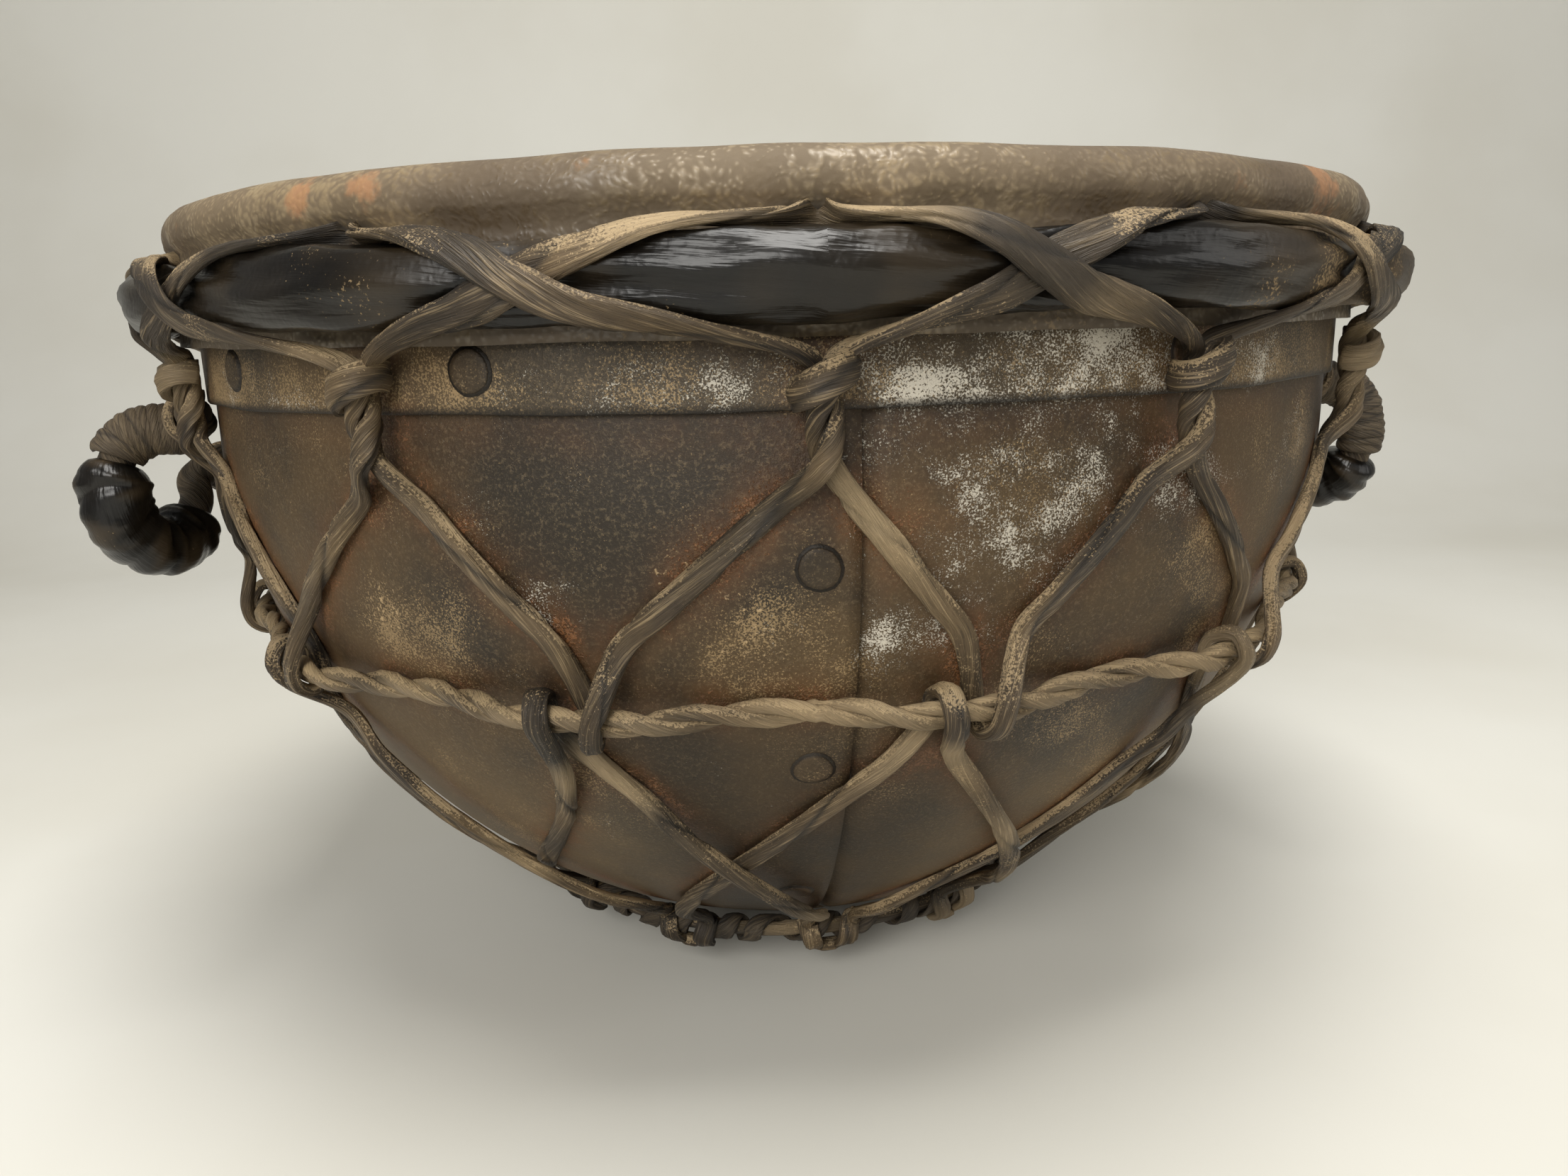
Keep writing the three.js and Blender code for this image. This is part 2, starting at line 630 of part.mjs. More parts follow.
// Ring at the base: a hide core seated under the bowl, bound with cord.
const baseSkin = bowlSkin(0, bowlHeight(BASE_RING_RADIUS));
const BASE_RING_Z = bowlHeight(BASE_RING_RADIUS) - (BASE_RING_TUBE + CLEARANCE) / -baseSkin.normal.z;

function baseStop(azimuth, angle, radius) {
  const turn = angle * RAD;
  const n = outward(azimuth).multiplyScalar(Math.cos(turn)).addScaledVector(UP, Math.sin(turn));
  return { p: polar(azimuth, BASE_RING_RADIUS, BASE_RING_Z).addScaledVector(n, radius), n };
}

addPiece('base_ring_core', revolve(
  arc(BASE_RING_RADIUS, BASE_RING_Z, BASE_CORE_RADIUS, 0, 360, 6).slice(1),
  36,
), laceHide);

function baseBindingStops() {
  const stops = [];
  const total = BASE_TURNS * BINDING_STEPS;
  for (let i = 0; i < total; i += 1) {
    const azimuth = (2 * Math.PI * i) / total;
    const stop = baseStop(azimuth, (360 * i) / BINDING_STEPS, BASE_RING_TUBE - BASE_CORD / 2);
    stops.push(laceStop(stop, BASE_CORD, 1.6 * BASE_CORD));
  }
  return stops;
}

const baseBinding = baseBindingStops();
leastSelfGap('base_ring_binding', baseBinding, 4);
addPiece('base_ring_binding', strandGeometry(baseBinding, BINDING_SIDES, true), cordFibre);

// Lower lacing: two strands, each hooked over every second belt crossing and under the base ring.
// A crossed strand comes up before the belt and goes down behind it, so its legs cross below the hook.
function lowerLaceStops(first, crossed) {
  const stops = [];
  const hookTurn = crossed ? [-35, 20, 90, 160, 215] : [215, 160, 90, 20, -35];
  const leaving = crossed ? [[0.1, 0], [0.28, 0.3]] : [[0.12, 0.5], [0.28, 0.9]];
  leaving.push([0.5, 1.1], [0.68, 1.15], [0.86, 1]);
  const arriving = [[0.88, 0.95], [0.7, 0], [0.42, 0]];
  arriving.push(...(crossed ? [[0.24, 0.4], [0.1, 1.05]] : [[0.2, 0]]));
  const hookStation = (c) => c + alongBelt(HOOK_SHIFT);
  const top = BELT_Z - BELT_HEIGHT;
  const bottom = BASE_RING_Z + 2 * BASE_RING_TUBE;
  const aside = 0.55 * LACE_WIDTH;
  const anchorAngle = (s) => stationAngle(s) + ANCHOR_SHIFT / BASE_RING_RADIUS;
  const legStop = (from, to, t, raise, sweep = LOWER_SWEEP) => {
    const z = mix(top, bottom, t);
    const azimuth = mix(stationAngle(from), anchorAngle(to), t ** sweep);
    return laceStop(overBowl(azimuth, z, LACE_LIFT + BOW + raise));
  };
  const anchorStop = (s, angle, shift) => {
    const azimuth = anchorAngle(s) + shift / BASE_RING_RADIUS;
    const slim = mix(LACE_WIDTH, LACE_THICKNESS, 0.5);
    return laceStop(baseStop(azimuth, angle, BASE_RING_TUBE + LACE_LIFT + BOW / 2), LACE_THICKNESS, slim);
  };
  for (let c = first; c < first + STATIONS; c += 2) {
    const crossing = c + 0.5;
    for (const angle of hookTurn) {
      stops.push(beltStop(crossing, angle, HOOK_SHIFT + (90 - angle) / 75));
    }
    for (const [t, raise] of leaving) {
      stops.push(legStop(hookStation(crossing), crossing + 1, t, raise * LACE_STEP));
    }
    const spreading = (angle) => aside + 0.02 * (angle + 85);
    for (const angle of [40, -20, -85]) stops.push(anchorStop(crossing + 1, angle, -spreading(angle)));
    for (const angle of [-85, -20, 40]) stops.push(anchorStop(crossing + 1, angle, spreading(angle)));
    for (const [t, raise] of arriving) {
      const sweep = crossed ? STEEP_SWEEP : LOWER_SWEEP;
      stops.push(legStop(hookStation(crossing + 2), crossing + 1, t, raise * LACE_STEP, sweep));
    }
  }
  return stops;
}

for (const strand of [0, 1]) {
  const stops = lowerLaceStops(strand, strand === 1);
  leastSelfGap(`lower_lace_${strand + 1}`, stops, 3);
  addPiece(`lower_lace_${strand + 1}`, strandGeometry(stops, LACE_SIDES, true), laceHide);
}

// Carrying loop, drawn in its own frame: X along the line it swings on, Y away from the bowl, Z up.
// Its front limb stands out from the bowl, and its rear limb comes back close to it.
const LOOP_BEND = LOOP_CORD_RADIUS * 1.2;
const loopRoute = [
  [LOOP_HALF_SPAN + LOOP_STUB + LOOP_BEND, 0, 0],
  [LOOP_HALF_SPAN + LOOP_BEND, 0, 0],
  [LOOP_HALF_SPAN + 0.3 * LOOP_BEND, 0.3 * LOOP_BEND, 0],
  [LOOP_HALF_SPAN, LOOP_BEND, 0],
  [LOOP_HALF_SPAN, 0.55 * LOOP_REACH, 0],
  [0.97 * LOOP_HALF_SPAN, 0.85 * LOOP_REACH, -0.12 * LOOP_DROP],
  [0.88 * LOOP_HALF_SPAN, LOOP_REACH, -0.42 * LOOP_DROP],
  [0.68 * LOOP_HALF_SPAN, LOOP_REACH, -0.75 * LOOP_DROP],
  [0.36 * LOOP_HALF_SPAN, mix(LOOP_REACH, LOOP_REAR_REACH, 0.15), -0.96 * LOOP_DROP],
  [0, mix(LOOP_REACH, LOOP_REAR_REACH, 0.4), -1.02 * LOOP_DROP],
  [-0.36 * LOOP_HALF_SPAN, mix(LOOP_REACH, LOOP_REAR_REACH, 0.66), -0.96 * LOOP_DROP],
  [-0.68 * LOOP_HALF_SPAN, mix(LOOP_REACH, LOOP_REAR_REACH, 0.88), -0.75 * LOOP_DROP],
  [-0.88 * LOOP_HALF_SPAN, LOOP_REAR_REACH, -0.46 * LOOP_DROP],
  [-LOOP_HALF_SPAN, LOOP_REAR_REACH, -0.2 * LOOP_DROP],
  [-LOOP_HALF_SPAN - 0.3 * LOOP_BEND, 0.3 * LOOP_BEND, 0],
  [-LOOP_HALF_SPAN - LOOP_BEND, 0, 0],
  [-LOOP_HALF_SPAN - LOOP_STUB - LOOP_BEND, 0, 0],
];

// The loop's middle line from its front end. Ahead is the way along X that leads to the front.
function loopCurve(ahead) {
  const points = loopRoute.map(([x, y, z]) => new THREE.Vector3(ahead * x, y, z));
  return new THREE.CatmullRomCurve3(points, false, 'centripetal');
}

// Places at shares of a loop's length, each with the loop's run and a side that follows it untwisted.
function loopPlaces(curve, shares) {
  let n = UP;
  return shares.map((share) => {
    const run = curve.getTangentAt(share);
    n = n.clone().addScaledVector(run, -n.dot(run)).normalize();
    return { p: curve.getPointAt(share), n, run };
  });
}

function roundStrand(curve, shares, radius, sides) {
  const stops = loopPlaces(curve, shares).map((place) => laceStop(place, 2 * radius, 2 * radius));
  return strandGeometry(stops, sides, false);
}

const spread = (from, to, steps) => Array.from({ length: steps + 1 }, (_, i) => mix(from, to, i / steps));

function loopBinding(curve, [from, to], turns) {
  const radius = LOOP_CORD_RADIUS / Math.cos(Math.PI / BINDING_STEPS) + CLEARANCE + LOOP_BINDING / 2;
  return loopPlaces(curve, spread(from, to, turns * BINDING_STEPS)).map(({ p, n, run }, i) => {
    const turned = n.clone().applyAxisAngle(run, (2 * Math.PI * i) / BINDING_STEPS);
    return laceStop({ p: p.addScaledVector(turned, radius), n: turned }, LOOP_BINDING, LOOP_BINDING);
  });
}

function sleeveGeometry(curve, [from, to]) {
  const inner = LOOP_CORD_RADIUS / Math.cos(Math.PI / LOOP_SIDES) + CLEARANCE;
  const past = 0.02;
  const whole = roundStrand(curve, spread(from, to, SLEEVE_STEPS), inner + LOOP_SLEEVE_WALL, LOOP_SIDES);
  const bore = roundStrand(curve, spread(from - past, to + past, SLEEVE_STEPS), inner, LOOP_SIDES);
  return cutAway(whole, [bore]);
}

// A thong saddle over one of the loop's stubs, with its feet on the bowl.
function tieGeometry(way) {
  const radius = LOOP_CORD_RADIUS + CLEARANCE + TIE_DIAMETER / 2;
  const x = way * (LOOP_HALF_SPAN + LOOP_BEND + LOOP_STUB / 2);
  const stops = [-100, -60, -20, 20, 60, 100].map((angle) => {
    const n = new THREE.Vector3(0, Math.cos(angle * RAD), Math.sin(angle * RAD));
    const p = n.clone().multiplyScalar(radius).setX(x);
    return laceStop({ p, n }, TIE_DIAMETER, 1.4 * TIE_DIAMETER);
  });
  return strandGeometry(stops, LACE_SIDES, false);
}

for (const { name, station, ahead, binding, turns, sleeve } of LOOPS) {
  const azimuth = stationAngle(station);
  const group = new THREE.Group();
  const reach = LOOP_HALF_SPAN + LOOP_BEND;
  const seat = Math.sqrt(bowlRadius(LOOP_Z) ** 2 - reach ** 2) + LOOP_CORD_RADIUS + LACE_GAP;
  group.position.copy(polar(azimuth, seat, LOOP_Z));
  const y = outward(azimuth);
  const x = sideways(azimuth).applyAxisAngle(y, -ahead * LOOP_TILT * RAD).negate();
  const z = new THREE.Vector3().crossVectors(x, y);
  group.quaternion.setFromRotationMatrix(new THREE.Matrix4().makeBasis(x, y, z));
  const curve = loopCurve(ahead);
  const core = roundStrand(curve, spread(0, 1, CORE_STEPS), LOOP_CORD_RADIUS, LOOP_SIDES);
  addPiece(`${name}_loop_core`, core, cordFibre, group);
  const wound = loopBinding(curve, binding, turns);
  leastSelfGap(`${name}_loop_binding`, wound, 4);
  addPiece(`${name}_loop_binding`, strandGeometry(wound, BINDING_SIDES, false), cordFibre, group);
  addPiece(`${name}_loop_sleeve`, sleeveGeometry(curve, sleeve), blackHide, group);
  addPiece(`${name}_loop_front_tie`, tieGeometry(ahead), laceHide, group);
  addPiece(`${name}_loop_rear_tie`, tieGeometry(-ahead), laceHide, group);
  drum.add(group);
}

export default drum;
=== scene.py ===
"""Dresses an iron kettle drum: riveted plates, a hide head with a rolled edge, lacing and carrying loops."""

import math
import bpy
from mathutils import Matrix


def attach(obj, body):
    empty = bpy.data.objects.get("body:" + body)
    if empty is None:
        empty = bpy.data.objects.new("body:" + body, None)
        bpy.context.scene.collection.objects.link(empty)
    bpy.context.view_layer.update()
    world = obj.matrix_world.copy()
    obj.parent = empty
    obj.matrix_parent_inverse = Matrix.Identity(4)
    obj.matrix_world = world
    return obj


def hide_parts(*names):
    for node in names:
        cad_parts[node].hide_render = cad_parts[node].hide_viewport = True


bl_info = {
    "name": "Iron Kettle Drum",
    "version": (1, 0, 0),
    "blender": (4, 5, 0),
    "location": "View3D > Sidebar > Kettle Drum",
    "description": "Builds a laced iron kettle drum over its packed frame",
    "category": "Add Mesh",
}

import bmesh
import bpy
import numpy as np
from bpy.props import FloatProperty, FloatVectorProperty, IntProperty, PointerProperty
from bpy.types import Operator, Panel, PropertyGroup
from mathutils import Matrix, Vector, kdtree, noise

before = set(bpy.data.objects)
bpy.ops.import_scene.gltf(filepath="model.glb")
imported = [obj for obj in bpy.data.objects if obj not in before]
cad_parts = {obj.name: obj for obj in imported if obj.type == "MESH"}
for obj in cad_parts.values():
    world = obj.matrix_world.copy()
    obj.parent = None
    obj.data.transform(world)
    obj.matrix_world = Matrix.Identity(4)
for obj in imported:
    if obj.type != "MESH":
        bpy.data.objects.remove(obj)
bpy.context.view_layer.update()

# Sizes below are in millimetres, as in the solids. Azimuth 0 is the front and grows towards +X.
MM = 0.001
UP = np.array([0.0, 0.0, 1.0])

SHEET = 1.6
COLLAR_RADIUS = 165.0
COLLAR_BOTTOM_Z = 174.0
COLLAR_TOP_Z = 210.5
BOWL_RADIUS = 163.1
BOWL_SHOULDER_Z = 160.0
BOWL_POLE_Z = 2.0
BOWL_RADIAL_POWER = 1.9
BOWL_DEPTH_POWER = 1.8
GORES = 3
SEAM_AZIMUTH = 5.9
SEAM_LAP = 16.5
PLATE_TOP_Z = 193.0
PLATE_GAP = 0.5
# Degrees between sections of a plate.
PLATE_STEP = 1.11
DISH_FLAT_RADIUS = 24.0
DISH_EDGE_RADIUS = 49.5
DISH_LAP = 9.0
DISH_GAP = 0.3

# Sections round the turned pieces.
DISH_STEPS = 144
COLLAR_STEPS = 288
HEAD_STEPS = 480

# Degrees from a seam to each of the collar rivets that follow it.
COLLAR_RIVET_ANGLES = (25.0, 65.8, 93.6)
COLLAR_RIVET_Z = 182.5
SEAM_RIVET_Z = (143.5, 95.5, 46.0)
DISH_RIVETS = 6
RIVET_RISE = 1.1
RIVET_SIDES = 20

HIDE = 2.4
HOOP_Z = 214.4
HOOP_CENTRE_RADIUS = 164.2
SHOULDER_RADIUS = 6.3
SKIRT_RADIUS = 167.7
SKIRT_TOP_Z = 209.5
SKIRT_END_Z = 187.5
EYELET_Z = 207.8
ROLL_Z = 198.5
ROLL_DEPTH = 13.6
ROLL_HEIGHT = 17.0
ROLL_PINCH_DEPTH = 8.6
ROLL_PINCH_HEIGHT = 14.6
ROLL_INNER_RADIUS = 168.3

STATIONS = 12
STATION_ZERO = 2.2
LACE_THREADED = 2.2
LACE_PRESSED = 2.3
LACE_GAP = 0.3
KNOT_TOP_Z = 183.5
KNOT_HEIGHT = 19.0
BELT_Z = 113.3
BELT_HEIGHT = 7.2
BELT_DEPTH = 5.2
HOOK_SHIFT = -11.0
LOWER_SWEEP = 1.05
STEEP_SWEEP = 2.0
ANCHOR_SHIFT = -9.0
# Degrees by which each knot and each belt crossing, in turn, was laced off its even place.
LACE_WANDER = (
    1, -1.5, -2, -1, 0.5, 1, -0.5, 0, 1, -1, 0, 1.5,
    -1, 0.5, 1, 0, -1, 0, 1, -0.5, -1.5, -3.5, -0.5, -1.5,
)

BASE_RING_RADIUS = 75.96
BASE_RING_TUBE = 3.96

LOOP_Z = 161.0
LOOP_TILT = 20.0
LOOP_HALF_SPAN = 17.0
LOOP_REACH = 22.0
LOOP_REAR_REACH = 7.5
LOOP_DROP = 27.0
LOOP_CORD_RADIUS = 4.6
LOOP_STUB = 7.0
LOOP_SLEEVE_WALL = 4.4
LOOP_BEND = 1.2 * LOOP_CORD_RADIUS
LOOPS = {
    "left": {"station": -2.42, "ahead": -1, "binding": (0.13, 0.28), "sleeve": (0.3, 0.72)},
    "right": {"station": 3.02, "ahead": 1, "binding": (0.13, 0.42), "sleeve": (0.44, 0.7)},
}

# Strips and cords as they are shown: each strip's width and thickness, and the steps in each turn of a wrap.
# The strip across a knot is wider than the lace by a share of it.
HITCH_WIDENED = 1.3
HITCH_SPREAD = 118.0
BELT_STRIP = (3.8, 3.0)
BELT_ROPE_TURNS = 31
BELT_STEP = 1.5
BASE_CORE_STRIP = (4.2, 3.8)
BASE_WRAP_STRIP = (5.6, 1.7)
BASE_WRAP_STEPS = 12
LOOP_WRAP_STRIP = (3.7, 2.0)
LOOP_WRAP_STEPS = 14
LOOP_WRAP_RISE = 1.2
# Share of its loop that the left binding covers, for which the number of turns is given.
LEFT_BINDING_SHARE = 0.15
TIE_STRIP = (4.4, 3.0)
TIE_SPREAD = 112.0
TIE_LIFT = 1.8
CORD_SIDES = 12
LOOP_SIDES = 24
SLEEVE_SIDES = 28
# Stations from a carrying loop within which a knot has no strip across it, so that the loop can swing past.
HITCH_CLEAR = 0.3


def linear(red, green, blue):
    """A display colour of 0 to 255 as the linear colour that Blender stores."""
    def channel(value):
        value /= 255.0
        return value / 12.92 if value <= 0.04045 else ((value + 0.055) / 1.055) ** 2.4
    return (channel(red), channel(green), channel(blue))


# Shapes that the pieces share: the bowl, the roll, and the places of the lacing.

def mix(a, b, t):
    return a + (b - a) * t


def smooth(low, high, value):
    t = np.clip((value - low) / (high - low), 0.0, 1.0)
    return t * t * (3.0 - 2.0 * t)


def outward(azimuth):
    return np.array([math.sin(azimuth), -math.cos(azimuth), 0.0])


def sideways(azimuth):
    return np.array([math.cos(azimuth), math.sin(azimuth), 0.0])


def polar(azimuth, radius, z):
    return outward(azimuth) * radius + UP * z


def unit(vector):
    return vector / np.linalg.norm(vector)


def units(rows):
    return rows / np.linalg.norm(rows, axis=1)[:, None]


def round_turn(count):
    """Angles spread evenly round one turn."""
    return 2 * math.pi * np.arange(count) / count


def azimuths(points):
    """The azimuth of each point, in degrees."""
    return np.degrees(np.arctan2(points[:, 0], -points[:, 1]))


def radii(points):
    return np.hypot(points[:, 0], points[:, 1])


def swung(first, second, turn):
    """Rows of ways that turn from a first way towards a second, each by its own angle."""
    return first * np.cos(turn)[:, None] + second * np.sin(turn)[:, None]


def bowl_radius(z):
    """The bowl's outer radius at a height."""
    depth = np.clip((BOWL_SHOULDER_Z - z) / (BOWL_SHOULDER_Z - BOWL_POLE_Z), 0.0, 1.0)
    bend = np.arcsin(depth ** (BOWL_DEPTH_POWER / 2))
    return BOWL_RADIUS * np.cos(bend) ** (2 / BOWL_RADIAL_POWER)


def bowl_height(radius):
    """The bowl's height at a radius."""
    cosine = (radius / BOWL_RADIUS) ** (BOWL_RADIAL_POWER / 2)
    depth = math.sqrt(max(0.0, 1.0 - cosine * cosine)) ** (2 / BOWL_DEPTH_POWER)
    return mix(BOWL_SHOULDER_Z, BOWL_POLE_Z, depth)


def bowl_skin(azimuth, z):
    """A point on the bowl, with the ways out of it and up along it."""
    slope = bowl_radius(z + 0.5) - bowl_radius(z - 0.5)
    out = outward(azimuth)
    normal = unit(out - UP * slope)
    rising = unit(out * slope + UP)
    return polar(azimuth, bowl_radius(z), z), normal, rising


def over_bowl(azimuth, z, lift):
    point, normal, rising = bowl_skin(azimuth, z)
    return point + normal * lift, normal


def station_angle(s):
    """Azimuth of a lacing station: whole numbers are knots, halves are belt crossings."""
    place = s * 2
    low = math.floor(place)
    count = len(LACE_WANDER)
    offset = mix(LACE_WANDER[low % count], LACE_WANDER[(low + 1) % count], place - low)
    return math.radians(STATION_ZERO + 360 / STATIONS * s + offset)


def roll_half(s):
    """Half the rolled edge's depth and height, full over each knot and drawn in at each half station."""
    fullness = (0.5 + 0.5 * math.cos(2 * math.pi * s)) ** 0.6
    depth = mix(ROLL_PINCH_DEPTH, ROLL_DEPTH, fullness)
    height = mix(ROLL_PINCH_HEIGHT, ROLL_HEIGHT, fullness)
    return depth / 2, height / 2


def over_roll(s, angle, lift):
    """A point over the roll: angle 0 faces out, 90 is its top and -90 its underside."""
    azimuth = station_angle(s)
    depth, height = roll_half(s)
    turn = math.radians(angle)
    out = ROLL_INNER_RADIUS + depth + (depth + lift) * math.cos(turn)
    normal = outward(azimuth) * math.cos(turn) + UP * math.sin(turn)
    return polar(azimuth, out, ROLL_Z + (height + lift) * math.sin(turn)), normal


def along_belt(length):
    """Millimetres along the belt as a share of a station."""
    return length / bowl_radius(BELT_Z) * STATIONS / (2 * math.pi)


def belt_centre(s, thong):
    """The belt's middle, which stands off the bowl where strands pass behind it."""
    reach = abs(s - math.floor(s) - 0.5 - along_belt(HOOK_SHIFT / 2))
    raised = smooth(0.12, 0.3, 0.5 - reach)
    point, normal, rising = bowl_skin(station_angle(s), BELT_Z)
    low = BELT_DEPTH / 2
    return point + normal * mix(low, low + thong + LACE_GAP, raised), normal, rising


def belt_stop(s, angle, shift, thong):
    """A place on a loop round the belt: angle 0 is in front of it, 90 above it and 180 behind it."""
    point, normal, rising = belt_centre(s + along_belt(shift), thong)
    turn = math.radians(angle)
    off = thong / 2 + LACE_GAP
    place = point + normal * (BELT_DEPTH / 2 + off) * math.cos(turn)
    place = place + rising * (BELT_HEIGHT / 2 + off) * math.sin(turn)
    return place, normal * math.cos(turn) + rising * math.sin(turn)


def knot_radius(thong):
    """Radius of the line that a knot's two strands turn about."""
    return COLLAR_RADIUS + RIVET_RISE + thong + LACE_GAP


def knot_stop(s, phase, down, thong):
    """One of two strands that turn once about each other: phase 0 faces out and 90 is towards the left."""
    azimuth = station_angle(s)
    turn = math.radians(phase)
    normal = outward(azimuth) * math.cos(turn) - sideways(azimuth) * math.sin(turn)
    axis = polar(azimuth, knot_radius(thong), KNOT_TOP_Z - KNOT_HEIGHT * down)
    return axis + normal * (thong + LACE_GAP) / 2, normal


def upper_lace_stops(thong):
    """From each eyelet over the roll, round the next knot, round the belt, back through the first knot."""
    stops = []
    overlay = ((0.1, 108), (0.26, 68), (0.4, 28), (0.5, 0), (0.6, -28), (0.78, -72))
    phases = (90, 165, 240, 315, 390)
    legs = (0.18, 0.34, 0.5, 0.66, 0.82)
    foot = KNOT_TOP_Z - KNOT_HEIGHT
    belt_top = BELT_Z + BELT_HEIGHT

    def add(place, thick=thong):
        stops.append((place[0], place[1], thick))

    def leg(knot, crossing, t, raised):
        z = mix(foot, belt_top, t)
        add(over_bowl(station_angle(mix(knot, crossing, t)), z, thong / 2 + raised))

    for i in range(STATIONS):
        azimuth = station_angle(i)
        threaded = polar(azimuth, COLLAR_RADIUS + LACE_GAP + LACE_THREADED / 2, EYELET_Z)
        add((threaded, outward(azimuth)), LACE_THREADED)
        for ds, angle in overlay:
            over = (LACE_PRESSED + LACE_GAP) * max(0.0, 1 - abs(ds - 0.5) / 0.25)
            add(over_roll(i + ds, angle, LACE_PRESSED / 2 + over), LACE_PRESSED)
        for k, phase in enumerate(phases):
            add(knot_stop(i + 1, phase, k / 4, thong))
        for t in legs:
            leg(i + 1, i + 0.5, t, 3 * LACE_GAP * t)
        for angle in (35, -20, -75, -130, -185):
            add(belt_stop(i + 0.5, angle, 2 - (35 - angle) / 55, thong))
        for t in reversed(legs):
            leg(i, i + 0.5, t, 0.0)
        for k in range(len(phases)):
            add(knot_stop(i, phases[4 - k] - 180, 1 - k / 4, thong))
        for ds, angle in reversed(overlay):
            add(over_roll(i + 1 - ds, angle, LACE_PRESSED / 2), LACE_PRESSED)
    return stops


def base_stop(azimuth, angle, radius):
    turn = math.radians(angle)
    normal = outward(azimuth) * math.cos(turn) + UP * math.sin(turn)
    return polar(azimuth, BASE_RING_RADIUS, base_ring_z()) + normal * radius, normal


def base_ring_z():
    """The base ring's height, where it seats under the bowl."""
    z = bowl_height(BASE_RING_RADIUS)
    normal = bowl_skin(0.0, z)[1]
    return z - (BASE_RING_TUBE + 0.8) / -normal[2]


def lower_lace_stops(first, crossed, thong):
    """One of two strands, hooked over every second belt crossing and under the base ring.

    A crossed strand comes up before the belt and goes down behind it, so its legs cross below the hook.
    """
    stops = []
    hook_turn = (-35, 20, 90, 160, 215) if crossed else (215, 160, 90, 20, -35)
    low, high = (0.14, 0.45) if crossed else (0.0, 0.3)
    top = BELT_Z - BELT_HEIGHT
    bottom = base_ring_z() + 2 * BASE_RING_TUBE
    aside = 3.5

    def anchor_angle(s):
        return station_angle(s) + ANCHOR_SHIFT / BASE_RING_RADIUS

    def leg(start, end, t, raised, sweep=LOWER_SWEEP):
        azimuth = mix(station_angle(start), anchor_angle(end), t ** sweep)
        stops.append((*over_bowl(azimuth, mix(top, bottom, t), thong / 2 + raised), thong))

    def anchor(s, angle, side):
        azimuth = anchor_angle(s) + side * (aside + 0.02 * (angle + 85)) / BASE_RING_RADIUS
        thin = 0.82 * thong
        stops.append((*base_stop(azimuth, angle, BASE_RING_TUBE + thin / 2 + LACE_GAP), thin))

    def hook(c):
        return c + along_belt(HOOK_SHIFT)

    for c in range(first, first + STATIONS, 2):
        crossing = c + 0.5
        for angle in hook_turn:
            stops.append((*belt_stop(crossing, angle, HOOK_SHIFT + (90 - angle) / 75, thong), thong))
        for t in (0.1, 0.22, 0.34, 0.46, 0.58, 0.7, 0.8, 0.88):
            over = (thong + LACE_GAP) * float(smooth(low, high, t))
            leg(hook(crossing), crossing + 1, t, over * (1.0 - 0.6 * float(smooth(0.74, 0.92, t))))
        for angle in (40, -20, -85):
            anchor(crossing + 1, angle, -1)
        for angle in (-85, -20, 40):
            anchor(crossing + 1, angle, 1)
        for t in (0.88, 0.78, 0.66, 0.54, 0.42, 0.3, 0.2, 0.1):
            over = 0.5 * thong * float(smooth(0.76, 0.9, t))
            if crossed:
                over += (thong + LACE_GAP) * float(smooth(0.36, 0.12, t))
            leg(hook(crossing + 2), crossing + 1, t, over, STEEP_SWEEP if crossed else LOWER_SWEEP)
    return stops


def loop_frame(side):
    """A carrying loop's own frame: X along the line it swings on, Y away from the bowl, Z up."""
    azimuth = station_angle(LOOPS[side]["station"])
    lean = math.radians(LOOPS[side]["ahead"] * LOOP_TILT)
    out = outward(azimuth)
    reach = LOOP_HALF_SPAN + LOOP_BEND
    seat = math.sqrt(float(bowl_radius(LOOP_Z)) ** 2 - reach ** 2) + LOOP_CORD_RADIUS + 0.45
    turned = Matrix.Rotation(-lean, 3, Vector(out)) @ Vector(sideways(azimuth))
    across = -np.array(turned)
    return polar(azimuth, seat, LOOP_Z), np.stack([across, out, np.cross(across, out)])


def loop_route(side):
    """The loop's middle line in its own frame, from its front stub, which stands out, to its rear one."""
    half, bend, drop = LOOP_HALF_SPAN, LOOP_BEND, LOOP_DROP
    far, near = LOOP_REACH, LOOP_REAR_REACH
    route = [
        (half + LOOP_STUB + bend, 0, 0),
        (half + bend, 0, 0),
        (half + 0.3 * bend, 0.3 * bend, 0),
        (half, bend, 0),
        (half, 0.55 * far, 0),
        (0.97 * half, 0.85 * far, -0.12 * drop),
        (0.88 * half, far, -0.42 * drop),
        (0.68 * half, far, -0.75 * drop),
        (0.36 * half, mix(far, near, 0.15), -0.96 * drop),
        (0, mix(far, near, 0.4), -1.02 * drop),
        (-0.36 * half, mix(far, near, 0.66), -0.96 * drop),
        (-0.68 * half, mix(far, near, 0.88), -0.75 * drop),
        (-0.88 * half, near, -0.46 * drop),
        (-half, near, -0.2 * drop),
        (-half - 0.3 * bend, 0.3 * bend, 0),
        (-half - bend, 0, 0),
        (-half - LOOP_STUB - bend, 0, 0),
    ]
    return [np.array([LOOPS[side]["ahead"] * x, y, z], float) for x, y, z in route]


# Curves and skins

